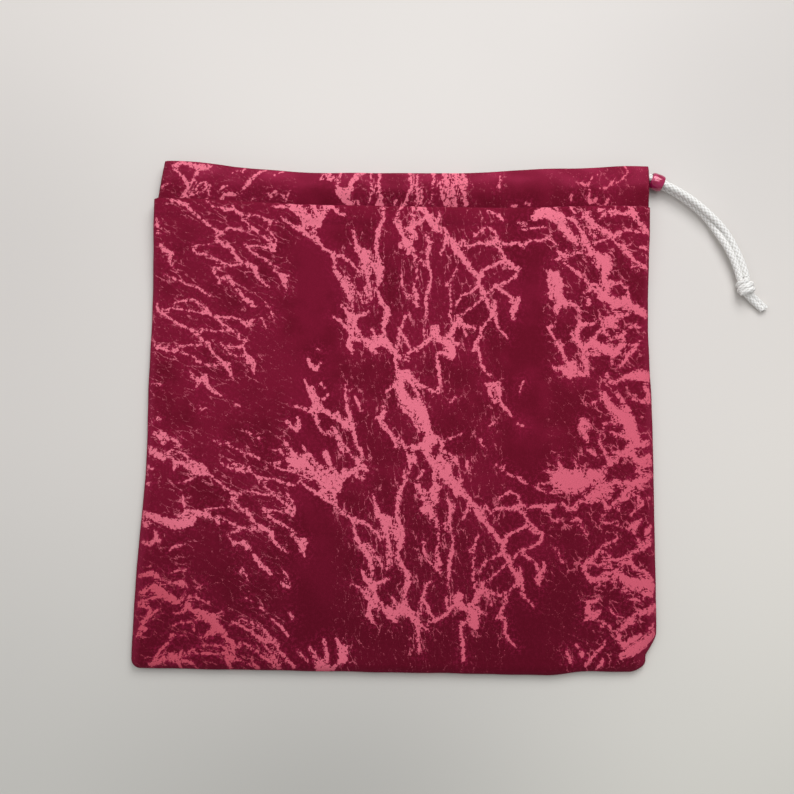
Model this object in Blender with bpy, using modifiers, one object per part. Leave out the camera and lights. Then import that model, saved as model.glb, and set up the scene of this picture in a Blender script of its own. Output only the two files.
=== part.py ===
# Kinchaku: a flat cotton drawstring pouch, lying on its back.
# Two panels are sewn along their sides and bottom. One folded strip is sewn round the mouth as a
# channel, open only at the right. One braided cord runs round inside it, and its two ends leave
# together through a stopper bead and are tied in one overhand knot.
# Metres, +Z up, +X towards the cord, +Y towards the mouth, origin under the middle of the pouch.

import math

import bmesh
import bpy
from mathutils import Matrix, Vector

# Pouch
POUCH_WIDTH = 0.2870
BODY_HEIGHT = 0.2635
CASING_HEIGHT = 0.0236
CLOTH = 0.0005
CLEARANCE = 0.0003
SEAM_ALLOWANCE = 0.008
ALLOWANCE_TRIM = 0.0009
INSIDE_HEIGHT = 0.0050
MOUTH_OPENING = 0.0049
SIDE_SEAM_HEIGHT = 0.0026
EDGE_ROLL = 0.0050
MOUTH_EDGE_ROLL = 0.0025
LEFT_CORNER = 0.0050
RIGHT_CORNER = 0.0080
CLIPPED_CORNER = (0.0085, 0.021)
CLIP_BEND = 1.3
CLIP_FROM = 0.6
WAIST = 0.0016
WAIST_PLACE = 0.055
WAIST_LENGTH = 0.040
SLOPE_LENGTH = 0.075
PANEL_COLUMNS = 18
PANEL_ROWS = 13

# Casing
CASING_LEFT_SETBACK = 0.0020
CASING_RIGHT_SETBACK = 0.0015
CASING_FOLD = 0.00035
CASING_LEAN = 0.0030
CASING_LIFT = 0.00015
CASING_PUFF = 0.0008
CORD_PLAY = 0.00035
FRONT_SEAM_SAG = 0.0042
FRONT_TOP_SAG = 0.0076
BACK_SEAM_SAG = 0.0020
BACK_TOP_SAG = 0.0045
GATHER_REACH = 0.010
GATHER_RAMP = 0.085
PAIR_DROP = 0.0003

# Cord and bead
CORD = 0.0033
STRAND_SPACING = 0.0036
CORD_PLACE = 0.64
EXIT_PLACE = 0.76
ARC_RADIUS = 0.0798
EXIT_ANGLE = 73.0
BEAD_ANGLE = 68.6
STRAND_END_ANGLE = 13.9
KNOT_ANGLE = 13.3
BEAD_DIAMETER = 0.0098
BEAD_LENGTH = 0.0076
BEAD_BORE = 0.0077
BEAD_FACE_DIAMETER = 0.0088
BEAD_LIP = 0.0003

# Knot
KNOT_WIDTH = 0.0101
KNOT_LENGTH = 0.0096
KNOT_THICKNESS = 0.0086
KNOT_STRAND = 0.0040
KNOT_VOXEL = 0.00055
KNOT_PAST_STRANDS = 0.0012
KNOT_ASIDE = 0.0002
KNOT_LIFT = 0.0004
KNOT_CUT = 0.62
STUB_REACH = 0.0016
TAIL_STRAND = 0.0037
TAIL_ANGLE = -43.8
TAILS = ((-0.0011, 0.0118, 0.0022), (0.0011, 0.0126, 0.0034))

# Places that follow from the sizes above
BOTTOM_Y = -(BODY_HEIGHT + CASING_HEIGHT) / 2
SEAM_Y = BOTTOM_Y + BODY_HEIGHT
TOP_Y = SEAM_Y + CASING_HEIGHT
LAYER = CLOTH + CLEARANCE
CHANNEL = CORD + 2 * CORD_PLAY + 2 * CLOTH
BACK_PAIR_Z = 2 * LAYER + CLOTH + CLEARANCE / 2
PANEL_OVER_PAIR = BACK_PAIR_Z - CLOTH / 2
BACK_CHANNEL_Z = CASING_LIFT + CHANNEL / 2
END_FRONT_CHANNEL_Z = CASING_LIFT + CHANNEL + CLEARANCE + CHANNEL / 2
MOUTH_SEAM_HEIGHT = (CLOTH / 2 + END_FRONT_CHANNEL_Z - PAIR_DROP + PANEL_OVER_PAIR) / 2
PLATEAU_Z = CLOTH + INSIDE_HEIGHT + CLOTH / 2
CASING_RIGHT = POUCH_WIDTH / 2 - CASING_RIGHT_SETBACK
CASING_LEFT = -(POUCH_WIDTH / 2 - CASING_LEFT_SETBACK)
CORD_Z = (BACK_CHANNEL_Z + END_FRONT_CHANNEL_Z) / 2
HALF_SPACING = STRAND_SPACING / 2
HALF_EXIT = (END_FRONT_CHANNEL_Z - BACK_CHANNEL_Z) / 2

COLLECTION = "kinchaku_pouch"


def ease(t):
    t = min(max(t, 0.0), 1.0)
    return t * t * (3 - 2 * t)


def mix(a, b, t):
    return a + (b - a) * t


def gather(x):
    # 1 in the middle of the mouth, where the cord draws it down and it stands open, 0 at its ends
    return ease((POUCH_WIDTH / 2 - GATHER_REACH - abs(x)) / GATHER_RAMP)


def seam_y(x, side):
    return SEAM_Y - (FRONT_SEAM_SAG if side > 0 else BACK_SEAM_SAG) * gather(x)


def top_y(x, side):
    return TOP_Y - CASING_FOLD - (FRONT_TOP_SAG if side > 0 else BACK_TOP_SAG) * gather(x)


def channel_thickness(x, side):
    return CHANNEL + (CASING_PUFF * gather(x) if side > 0 else 0.0)


def front_channel_z(x):
    gap = mix(CLEARANCE, MOUTH_OPENING, gather(x))
    return CASING_LIFT + CHANNEL + gap + channel_thickness(x, 1) / 2


def front_pair_z(x):
    return front_channel_z(x) - PAIR_DROP * (1 + gather(x))


def front_height(x, y):
    # The middle of the front panel's cloth, without its rolled edges
    w = ease((y - (seam_y(x, 1) - SLOPE_LENGTH)) / SLOPE_LENGTH)
    return mix(PLATEAU_Z, front_pair_z(x) + PANEL_OVER_PAIR, w)


def side_seam_height(y):
    return mix(SIDE_SEAM_HEIGHT, MOUTH_SEAM_HEIGHT, ease((y - (SEAM_Y - SLOPE_LENGTH)) / SLOPE_LENGTH))


def side_edge(y):
    # The middle of the cloth at the side seams, which draw in a little below the mouth
    return POUCH_WIDTH / 2 - CLOTH / 2 - WAIST * math.exp(-(((y - WAIST_PLACE) / WAIST_LENGTH) ** 2))


def clip_corner(x, y):
    # The lower right corner is turned under, which cuts it off at a slant
    across, up = CLIPPED_CORNER
    depth = max(0.0, (BOTTOM_Y + up - y) / up)
    near = ease((2 * x / POUCH_WIDTH - CLIP_FROM) / (1 - CLIP_FROM))
    return across * depth ** CLIP_BEND * near


def spread(a, b, count):
    return [mix(a, b, i / count) for i in range(count + 1)]


def material(name, color, roughness, coat=0.0):
    m = bpy.data.materials.new(name)
    m.use_nodes = True
    shader = m.node_tree.nodes["Principled BSDF"]
    shader.inputs["Base Color"].default_value = (*color, 1.0)
    shader.inputs["Roughness"].default_value = roughness
    shader.inputs["Metallic"].default_value = 0.0
    shader.inputs["Coat Weight"].default_value = coat
    m.diffuse_color = (*color, 1.0)
    return m


def add_object(name, mesh, collection, finish):
    obj = bpy.data.objects.new(name, mesh)
    obj.data.materials.append(finish)
    collection.objects.link(obj)
    return obj


def cloth_sheet(name, columns, rows, place, skip, collection, finish):
    # A flat grid, one vertex for each column and row, moved into the shape that place() gives
    bm = bmesh.new()
    bmesh.ops.create_grid(bm, x_segments=len(columns) - 1, y_segments=len(rows) - 1, size=0.5)
    corner = {}
    for v in bm.verts:
        i = round((v.co.x + 0.5) * (len(columns) - 1))
        j = round((v.co.y + 0.5) * (len(rows) - 1))
        corner[v] = (columns[i], rows[j])
        v.co = place(columns[i], rows[j])
    spare = [f for f in bm.faces if all(skip(*corner[v]) for v in f.verts)]
    bmesh.ops.delete(bm, geom=spare, context="FACES")
    mesh = bpy.data.meshes.new(name)
    bm.to_mesh(mesh)
    bm.free()
    mesh.shade_smooth()
    obj = add_object(name, mesh, collection, finish)
    wall = obj.modifiers.new("cloth", "SOLIDIFY")
    wall.thickness = CLOTH
    wall.offset = 0.0
    wall.use_even_offset = True
    return obj


def panel_point(u, v, side):
    # u runs across: -1 to 1 is the flat, beyond it the rolled side edges.
    # v runs up: 0 to 1 is the rolled bottom edge, 1 to 2 the flat, 2 to 3 the fold at the seam,
    # 3 to 4 the allowance, turned down inside.
    corner = mix(LEFT_CORNER, RIGHT_CORNER, (u > 0))
    roll_x = mix(corner, EDGE_ROLL, ease((v - 1) / 0.15))
    roll_x = mix(roll_x, MOUTH_EDGE_ROLL, ease((v - 1.7) / 0.3))
    roll_y = mix(EDGE_ROLL, corner, ease((abs(u) - 0.85) / 0.15))
    a = math.sin(math.radians(90 * max(0.0, abs(u) - 1)))
    b = math.sin(math.radians(90 * max(0.0, 1 - v)))
    low = BOTTOM_Y + CLOTH / 2
    fold = LAYER / 2
    y = low + roll_y * (1 - b * math.sqrt(1 - a * a / 2))
    if v > 1:
        guess = min(max(u, -1.0), 1.0) * POUCH_WIDTH / 2
        y = mix(low + roll_y, seam_y(guess, side) - fold - CLOTH / 2, min(v, 2.0) - 1)
    inner = side_edge(y) - roll_x
    across = min(max(u, -1.0), 1.0)
    x = across * inner + math.copysign(roll_x * a * math.sqrt(1 - b * b / 2), u)
    x -= clip_corner(x, y)
    turn = math.radians(180 * min(max(v - 2, 0.0), 1.0))
    inward = fold * (1 - math.cos(turn))
    if v > 2:
        y += fold * math.sin(turn) - SEAM_ALLOWANCE * max(0.0, v - 3)
    seam = side_seam_height(y) + side * (CLEARANCE / 2)
    level = front_height(x, y) if side > 0 else CLOTH / 2
    z = mix(seam, level, math.sqrt(1 - a * a) * math.sqrt(1 - b * b))
    return Vector((x, y, z - side * inward))


def panel(name, side, collection, finish):
    edge = [1.25, 1.5, 1.75, 2.0]
    columns = [-c for c in reversed(edge)] + spread(-1, 1, PANEL_COLUMNS) + edge
    rows = [0.0, 0.25, 0.5, 0.75] + spread(1, 2, PANEL_ROWS) + [2.33, 2.67, 3.0, 4.0]

    def trimmed(u, v):
        return abs(u) >= 1 and v >= 2

    def place(u, v):
        return panel_point(u, v, side)

    return cloth_sheet(name, columns, rows, place, trimmed, collection, finish)


def casing_profile(t, thickness):
    # (place, offset): the folded strip's section. place is 0 at the seam and 1 at the top fold,
    # and less than 0 in the allowance. offset is the distance from the channel's middle surface.
    half_pair = LAYER / 2
    if abs(t) > 1:
        return 1 - abs(t), math.copysign(half_pair, t)
    angle = math.pi * (1 - abs(t))
    c = (1 - math.cos(angle)) / 2
    fullness = 1.299 * math.sin(angle) * math.sin(angle / 2)
    offset = half_pair * (1 - c) + ((thickness - CLOTH) / 2 - half_pair * (1 - c)) * fullness
    return c, math.copysign(offset, t)


def casing_levels(c, x):
    # Heights of the channel's middle surface in the front and in the back, at that place
    if c < 0:
        y = seam_y(x, 1) + c * SEAM_ALLOWANCE
        return front_height(x, y) - PANEL_OVER_PAIR, BACK_PAIR_Z
    w = ease(c / 0.4)
    return mix(front_pair_z(x), front_channel_z(x), w), mix(BACK_PAIR_Z, BACK_CHANNEL_Z, w)


def casing_y(c, x, side):
    if c < 0:
        return seam_y(x, side) + c * SEAM_ALLOWANCE
    return mix(seam_y(x, side), top_y(x, side), c)


def bend_centre(c):
    # Where the strip turns round the left end: its outside follows a straight leaning line
    front, back = casing_levels(c, CASING_LEFT)
    t = 1 - math.acos(1 - 2 * max(c, 0.0)) / math.pi
    outer = casing_profile(t, CHANNEL)[1] + CLOTH / 2
    radius = (front - back) / 2
    x = CASING_LEFT + CASING_LEAN * max(c, 0.0) + radius + outer
    return x, (front + back) / 2, radius


def casing_point(path, c, offset):
    # path runs round the mouth: 0 is the front's right end, 1 its left end, 2 the back's left end
    # and 3 its right end
    bend_x, bend_z, radius = bend_centre(c)
    if 1 < path < 2:
        turn = math.pi * (path - 1)
        side = 1 if path < 1.5 else -1
        x = bend_x - (radius + offset) * math.sin(turn)
        return Vector((x, casing_y(c, bend_x, side), bend_z + (radius + offset) * math.cos(turn)))
    side = 1 if path <= 1 else -1
    right = CASING_RIGHT - (ALLOWANCE_TRIM if c < 0 else 0.0)
    x = mix(right, bend_x, path if side > 0 else 3 - path)
    front, back = casing_levels(c, x)
    z = front + offset if side > 0 else back - offset
    return Vector((x, casing_y(c, x, side), z))


def mouth_casing(collection, finish):
    stations = spread(0, 1, 18) + spread(1, 2, 6)[1:-1] + spread(2, 3, 14)
    section = [-2.0, -1.0] + spread(-0.88, 0.88, 14) + [1.0, 2.0]

    def place(path, t):
        side_x = mix(CASING_RIGHT, CASING_LEFT, min(path, 3 - path, 1.0))
        thickness = channel_thickness(side_x, 1 if path <= 1 else -1)
        c, offset = casing_profile(t, thickness)
        return casing_point(path, c, offset)

    def nothing(path, t):
        return False

    return cloth_sheet("mouth_casing", stations, section, place, nothing, collection, finish)


def exit_y():
    return mix(SEAM_Y, TOP_Y, EXIT_PLACE)


def arc_centre():
    a = math.radians(EXIT_ANGLE)
    return Vector((CASING_RIGHT - ARC_RADIUS * math.cos(a), exit_y() - ARC_RADIUS * math.sin(a), CORD_Z))


def on_arc(angle, twist, half, strand):
    # A point of one strand: the pair follows the arc and turns from one above the other to side by side
    a, t = math.radians(angle), math.radians(twist)
    radius = ARC_RADIUS + strand * half * math.cos(t)
    return arc_centre() + Vector((radius * math.cos(a), radius * math.sin(a), strand * half * math.sin(t)))


# The free pair's route, chosen by hand: angle on the arc, twist of the pair, half of its spacing
FREE_ROUTE = [
    (STRAND_END_ANGLE, 0, HALF_SPACING),
    (18, 0, HALF_SPACING),
    (23, 0, HALF_SPACING),
    (28, 4, HALF_SPACING),
    (32, 16, HALF_SPACING),
    (36, 38, HALF_SPACING),
    (40, 60, HALF_SPACING),
    (44, 74, HALF_SPACING),
    (49, 80, HALF_SPACING),
    (55, 84, HALF_SPACING),
    (61, 88, HALF_SPACING),
    (66, 90, HALF_SPACING),
    (EXIT_ANGLE - 3.8, 90, HALF_SPACING),
    (EXIT_ANGLE - 1.7, 90, mix(HALF_SPACING, HALF_EXIT, 0.25)),
    (EXIT_ANGLE, 90, mix(HALF_SPACING, HALF_EXIT, 0.86)),
]


def held_route(side):
    # The cord in one half of the casing, from just inside its right end to the left bend
    points = []
    for share in [0.035, 0.075, 0.13, 0.2, 0.28, 0.36, 0.44, 0.52, 0.6, 0.68, 0.76, 0.84, 0.91, 0.965, 1.0]:
        c = mix(EXIT_PLACE, CORD_PLACE, ease(share / 0.3))
        points.append(casing_point(share if side > 0 else 3 - share, c, 0.0))
    return points


def smooth_curve(points, counts):
    # Catmull-Rom through the points, with that many steps on each stretch
    ends = [points[0] * 2 - points[1]] + points + [points[-1] * 2 - points[-2]]
    out = []
    for i, steps in enumerate(counts):
        p0, p1, p2, p3 = ends[i:i + 4]
        for k in range(steps):
            t = k / steps
            out.append(0.5 * (2 * p1 + (p2 - p0) * t + (2 * p0 - 5 * p1 + 4 * p2 - p3) * t * t
                              + (3 * p1 - p0 - 3 * p2 + p3) * t ** 3))
    out.append(points[-1])
    return out


def tube(name, points, diameter, collection, finish, sides=2):
    curve = bpy.data.curves.new(name, "CURVE")
    curve.dimensions = "3D"
    curve.bevel_depth = diameter / 2
    curve.bevel_resolution = sides
    curve.use_fill_caps = True
    spline = curve.splines.new("POLY")
    spline.points.add(len(points) - 1)
    for point, co in zip(spline.points, points):
        point.co = (*co, 1.0)
    return add_object(name, curve, collection, finish)


def drawstring(collection, finish):
    upper = [on_arc(*row, 1) for row in FREE_ROUTE] + held_route(1)
    bend = [casing_point(1 + k / 6, CORD_PLACE, 0.0) for k in range(1, 6)]
    lower = [on_arc(*row, -1) for row in FREE_ROUTE] + held_route(-1)
    points = upper + bend + lower[::-1]
    return tube("drawstring", smooth_curve(points, [1] * (len(points) - 1)), CORD, collection, finish)


def knot_point(t, centre, along, beside):
    # An open overhand knot: three lobes, cut open at the third, where the strands come in and go out
    x = (math.sin(t) + 2 * math.sin(2 * t)) / 2.6
    y = (math.cos(t) - 2 * math.cos(2 * t) + 0.45) / 2.6
    reach = (KNOT_LENGTH - KNOT_STRAND) / 2
    width = (KNOT_WIDTH - KNOT_STRAND) / 2
    rise = (KNOT_THICKNESS - KNOT_STRAND) / 2
    return centre + along * (x * reach) + beside * (y * width) - Vector((0, 0, math.sin(3 * t) * rise))


def drawstring_knot(collection, finish):
    entry = on_arc(KNOT_ANGLE, 0, 0, 1)
    a = math.radians(KNOT_ANGLE)
    along = Vector((math.sin(a), -math.cos(a), 0))
    beside = Vector((-math.cos(a), -math.sin(a), 0))
    centre = entry + along * (KNOT_LENGTH / 2 + KNOT_PAST_STRANDS) + beside * KNOT_ASIDE
    centre.z = KNOT_THICKNESS / 2 + KNOT_LIFT
    steps = 40
    start, stop = math.pi + KNOT_CUT, 3 * math.pi - KNOT_CUT
    loop = [knot_point(mix(start, stop, k / steps), centre, along, beside) for k in range(steps + 1)]
    first_end, last_end = loop[0], loop[-1]
    if (first_end - entry).length > (last_end - entry).length:
        first_end, last_end = last_end, first_end
    stubs = []
    for strand in (1, -1):
        stub_start = on_arc(STRAND_END_ANGLE, 0, HALF_SPACING, strand) + along * (CLEARANCE + 0.0001)
        bend = on_arc(KNOT_ANGLE, 0, 0.9 * HALF_SPACING, strand) + along * STUB_REACH
        stubs.append([stub_start, bend, first_end])
    # Each tail: how far it lies aside, how far it reaches and how high its tip's middle lies
    t = math.radians(TAIL_ANGLE)
    tail_way = Vector((math.cos(t), math.sin(t), 0))
    tail_side = Vector((-math.sin(t), math.cos(t), 0))
    tails = []
    for aside, length, height in TAILS:
        tip = last_end + tail_way * length + tail_side * aside
        tip.z = height
        middle = last_end.lerp(tip, 0.45) + tail_side * (aside * 0.6)
        middle.z = mix(last_end.z, tip.z, 0.65)
        tails.append([last_end, middle, tip])
    pieces = [tube("knot_loop", loop, KNOT_STRAND, collection, finish, 4)]
    for k, way in enumerate(stubs):
        pieces.append(tube(f"knot_stub_{k}", smooth_curve(way, [2, 2]), CORD, collection, finish, 4))
    for k, way in enumerate(tails):
        pieces.append(tube(f"knot_tail_{k}", smooth_curve(way, [3, 3]), TAIL_STRAND, collection, finish, 4))
    bpy.context.view_layer.update()
    bm = bmesh.new()
    for piece in pieces:
        evaluated = piece.evaluated_get(bpy.context.evaluated_depsgraph_get())
        bm.from_mesh(bpy.data.meshes.new_from_object(evaluated))
        bpy.data.objects.remove(piece)
    bmesh.ops.remove_doubles(bm, verts=bm.verts, dist=1e-6)
    mesh = bpy.data.meshes.new("drawstring_knot")
    bm.to_mesh(mesh)
    bm.free()
    knot = add_object("drawstring_knot", mesh, collection, finish)
    skin = knot.modifiers.new("one skin", "REMESH")
    skin.mode = "VOXEL"
    skin.voxel_size = KNOT_VOXEL
    skin.use_smooth_shade = True
    fewer = knot.modifiers.new("fewer faces", "DECIMATE")
    fewer.ratio = 0.35
    return knot


def stopper_bead(collection, finish):
    # A barrel with a wide hole, turned about its own axis and set on the arc by its pivot
    half = BEAD_LENGTH / 2
    bore = BEAD_BORE / 2
    face = BEAD_FACE_DIAMETER / 2
    crown = BEAD_DIAMETER / 2
    outside = []
    for k in range(9):
        s = mix(-1, 1, k / 8)
        outside.append((mix(crown, face, abs(s) ** 2.6), -s * (half - BEAD_LIP)))
    profile = [(mix(bore, face, 0.75), half)] + outside + [(mix(bore, face, 0.75), -half)]
    profile += [(bore + 0.15 * (face - bore), -half), (bore, -half + BEAD_LIP)]
    profile += [(bore, half - BEAD_LIP), (bore + 0.15 * (face - bore), half)]
    mesh = bpy.data.meshes.new("stopper_bead")
    bm = bmesh.new()
    ring = [bm.verts.new((radius, 0, height)) for radius, height in profile]
    for k, vert in enumerate(ring):
        bm.edges.new((vert, ring[(k + 1) % len(ring)]))
    bm.to_mesh(mesh)
    bm.free()
    bead = add_object("stopper_bead", mesh, collection, finish)
    turned = bead.modifiers.new("turned", "SCREW")
    turned.axis = "Z"
    turned.angle = math.radians(360)
    turned.steps = turned.render_steps = 28
    turned.use_merge_vertices = True
    turned.merge_threshold = 0.00001
    turned.use_smooth_shade = True
    pivot = bpy.data.objects.new("bead_pivot", None)
    pivot.location = arc_centre()
    collection.objects.link(pivot)
    a = math.radians(BEAD_ANGLE)
    bead.parent = pivot
    bead.location = (ARC_RADIUS * math.cos(a), ARC_RADIUS * math.sin(a), 0)
    bead.rotation_euler = Matrix.Rotation(a, 4, "Z").to_euler()
    bead.rotation_euler.rotate_axis("X", math.radians(90))
    return bead


def main():
    for obj in list(bpy.data.objects):
        bpy.data.objects.remove(obj)
    collection = bpy.data.collections.new(COLLECTION)
    bpy.context.scene.collection.children.link(collection)
    print_cotton = material("print_cotton", (0.19, 0.008, 0.025), 0.85)
    cotton_cord = material("cotton_cord", (0.80, 0.78, 0.73), 0.9)
    crimson_bead = material("crimson_bead", (0.36, 0.01, 0.06), 0.15, coat=0.6)
    panel("front_panel", 1, collection, print_cotton)
    panel("back_panel", -1, collection, print_cotton)
    mouth_casing(collection, print_cotton)
    drawstring(collection, cotton_cord)
    drawstring_knot(collection, cotton_cord)
    stopper_bead(collection, crimson_bead)


main()
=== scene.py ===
# Kinchaku drawstring pouch: the looks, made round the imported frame.
# Metres, +Z up, +X towards the cord, +Y towards the mouth.
import math

import bmesh
import bpy
import numpy as np
from mathutils import Matrix, Vector, noise


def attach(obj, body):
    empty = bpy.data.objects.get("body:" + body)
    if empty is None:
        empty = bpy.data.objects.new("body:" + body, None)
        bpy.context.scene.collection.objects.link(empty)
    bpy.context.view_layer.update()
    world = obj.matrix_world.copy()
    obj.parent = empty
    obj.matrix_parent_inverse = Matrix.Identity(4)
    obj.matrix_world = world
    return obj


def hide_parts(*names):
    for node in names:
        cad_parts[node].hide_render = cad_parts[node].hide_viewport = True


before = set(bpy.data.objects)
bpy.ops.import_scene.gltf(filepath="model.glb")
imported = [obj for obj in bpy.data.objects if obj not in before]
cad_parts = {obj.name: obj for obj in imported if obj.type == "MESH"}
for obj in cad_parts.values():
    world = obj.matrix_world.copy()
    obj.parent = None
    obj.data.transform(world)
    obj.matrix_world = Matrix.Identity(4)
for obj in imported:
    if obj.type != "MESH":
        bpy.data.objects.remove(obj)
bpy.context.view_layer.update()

scene = bpy.context.scene
scene.view_settings.view_transform = "Standard"


def ease(t):
    t = min(max(t, 0.0), 1.0)
    return t * t * (3 - 2 * t)


def mix(a, b, t):
    return a + (b - a) * t


def rise(value, band):
    # 0 to 1 over a band, given as its start and its length
    start, length = band
    return ease((value - start) / length)


def hump(value, place, length):
    # 1 at a place, falling off on both sides of it
    return math.exp(-((value - place) / length) ** 2)


def spread(a, b, count):
    return [mix(a, b, i / count) for i in range(count + 1)]


# Node trees

class Wire:
    # A socket's value. An expression on it adds its Math nodes.
    def __init__(self, graph, socket):
        self.graph = graph
        self.socket = socket

    def calc(self, operation, *others, flipped=False):
        values = list(others) + [self] if flipped else [self] + list(others)
        settings = {"operation": operation}
        return self.graph.add("ShaderNodeMath", settings, dict(enumerate(values)))[0]

    def __add__(self, other):
        return self.calc("ADD", other)

    __radd__ = __add__

    def __sub__(self, other):
        return self.calc("SUBTRACT", other)

    def __rsub__(self, other):
        return self.calc("SUBTRACT", other, flipped=True)

    def __mul__(self, other):
        return self.calc("MULTIPLY", other)

    def __truediv__(self, other):
        return self.calc("DIVIDE", other)

    def __pow__(self, other):
        return self.calc("POWER", other)

    def __abs__(self):
        return self.calc("ABSOLUTE")

    def step(self, low, high, start=0.0, end=1.0):
        # Smooth from start at low to end at high
        settings = {"interpolation_type": "SMOOTHSTEP"}
        values = {0: self, 1: low, 2: high, 3: start, 4: end}
        return self.graph.add("ShaderNodeMapRange", settings, values)[0]


class Made:
    # A node's outputs, by name or number
    def __init__(self, graph, node):
        self.graph = graph
        self.node = node

    def __getitem__(self, key):
        return Wire(self.graph, self.node.outputs[key])


class Graph:
    def __init__(self, tree):
        self.tree = tree

    def add(self, nodeType, settings=None, values=None):
        node = self.tree.nodes.new(nodeType)
        for name, value in (settings or {}).items():
            if name == "capture":
                for kind, label in value:
                    node.capture_items.new(kind, label)
            else:
                setattr(node, name, value)
        for key, value in (values or {}).items():
            if isinstance(value, Wire):
                self.tree.links.new(value.socket, node.inputs[key])
            else:
                node.inputs[key].default_value = value
        return Made(self, node)

    def blend(self, factor, a, b, mode="MIX"):
        settings = {"data_type": "RGBA", "blend_type": mode}
        return self.add("ShaderNodeMix", settings, {0: factor, 6: a, 7: b})[2]

    def vector(self, operation, a, b=None, scale=None):
        values = {0: a}
        if b is not None:
            values[1] = b
        if scale is not None:
            values[3] = scale
        return self.add("ShaderNodeVectorMath", {"operation": operation}, values)[0]

    def noise(self, place, scale, detail=3.0, roughness=0.5, flat=False, output=0):
        settings = {"noise_dimensions": "2D" if flat else "3D"}
        values = {"Vector": place, "Scale": scale, "Detail": detail, "Roughness": roughness}
        return self.add("ShaderNodeTexNoise", settings, values)[output]


def startMaterial(name, fixed):
    # A material with its shader, and the constants on the shader's own sockets
    material = bpy.data.materials.new(name)
    material.use_nodes = True
    shader = material.node_tree.nodes["Principled BSDF"]
    for socket, value in fixed.items():
        shader.inputs[socket].default_value = value
    return material, Graph(material.node_tree), shader


def feed(graph, shader, socket, wire):
    graph.tree.links.new(wire.socket, shader.inputs[socket])


def bumpFrom(graph, height, distance, strength=1.0):
    values = {"Height": height, "Distance": distance, "Strength": strength}
    return graph.add("ShaderNodeBump", None, values)["Normal"]


def linked(name, data):
    obj = bpy.data.objects.new(name, data)
    scene.collection.objects.link(obj)
    return obj


def applied(obj, name):
    # The object's result as a plain mesh, with no modifier left on it
    bpy.context.view_layer.update()
    evaluated = obj.evaluated_get(bpy.context.evaluated_depsgraph_get())
    plain = linked(name, bpy.data.meshes.new_from_object(evaluated))
    bpy.data.objects.remove(obj)
    plain.name = name
    return plain


def joined(objects, name):
    # The objects as one mesh, in the first one's material
    bm = bmesh.new()
    for obj in objects:
        bm.from_mesh(obj.data)
    mesh = bpy.data.meshes.new(name)
    bm.to_mesh(mesh)
    bm.free()
    mesh.materials.append(objects[0].data.materials[0])
    for obj in objects:
        bpy.data.objects.remove(obj)
    return linked(name, mesh)


# Camera, lamps and table

cameraView = {
    "angle": 49.6, "place": (-0.0010, -0.0516, 0.48583), "tilt": 7.0, "roll": 1.0, "nearest": 0.01,
}
lamps = {
    "window": {"place": (0.20, 0.55, 0.62), "aim": (0.0, 0.05, 0.0), "size": 0.55, "power": 4.0},
    "fill": {"place": (-0.6, 0.3, 1.0), "aim": (0.0, 0.0, 0.0), "size": 1.0, "power": 2.5},
    "ceiling": {"place": (0.16, 0.14, 0.8), "aim": (0.15, 0.13, 0.0), "size": 0.26, "power": 0.8},
}
roomLight = {"strength": 0.345, "colour": (1.0, 0.995, 0.985, 1.0)}
tableHalf = 15.0
# Table tones: far, near, corner and right paint the lamps' fall-off as shade and light; cloudy is
# the table's own tone
tableTonesAndPaintedShading = {
    "far": (0.76, 0.725, 0.70, 1), "near": (0.66, 0.655, 0.62, 1), "corner": (0.64, 0.61, 0.59, 1),
    "cloudy": (0.72, 0.70, 0.67, 1), "right": (1.16, 1.16, 1.14, 1),
    "shade": (0.02, 0.02, 0.02, 1),
}
# Soft shades on the table, as the room casts them: (x, y), reach, strength
tableShades = [
    ((-0.215, 0.110), 0.17, 0.08), ((-0.030, -0.240), 0.19, 0.17), ((0.235, 0.235), 0.16, 0.08),
]


def makeCamera():
    camera = linked("camera", bpy.data.cameras.new("camera"))
    camera.data.angle = math.radians(cameraView["angle"])
    camera.data.clip_start = cameraView["nearest"]
    turn = Matrix.Rotation(math.radians(cameraView["tilt"]), 4, "X")
    roll = Matrix.Rotation(math.radians(cameraView["roll"]), 4, "Z")
    camera.matrix_world = Matrix.Translation(cameraView["place"]) @ turn @ roll
    scene.camera = camera


def makeLamps():
    for name, lamp in lamps.items():
        data = bpy.data.lights.new(name, "AREA")
        data.shape = "DISK"
        data.size = lamp["size"]
        data.energy = lamp["power"]
        way = Vector(lamp["aim"]) - Vector(lamp["place"])
        turn = way.to_track_quat("-Z", "Y").to_matrix().to_4x4()
        linked(name, data).matrix_world = Matrix.Translation(lamp["place"]) @ turn
    world = bpy.data.worlds.new("room")
    world.use_nodes = True
    background = world.node_tree.nodes["Background"]
    background.inputs["Color"].default_value = roomLight["colour"]
    background.inputs["Strength"].default_value = roomLight["strength"]
    scene.world = world


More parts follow.
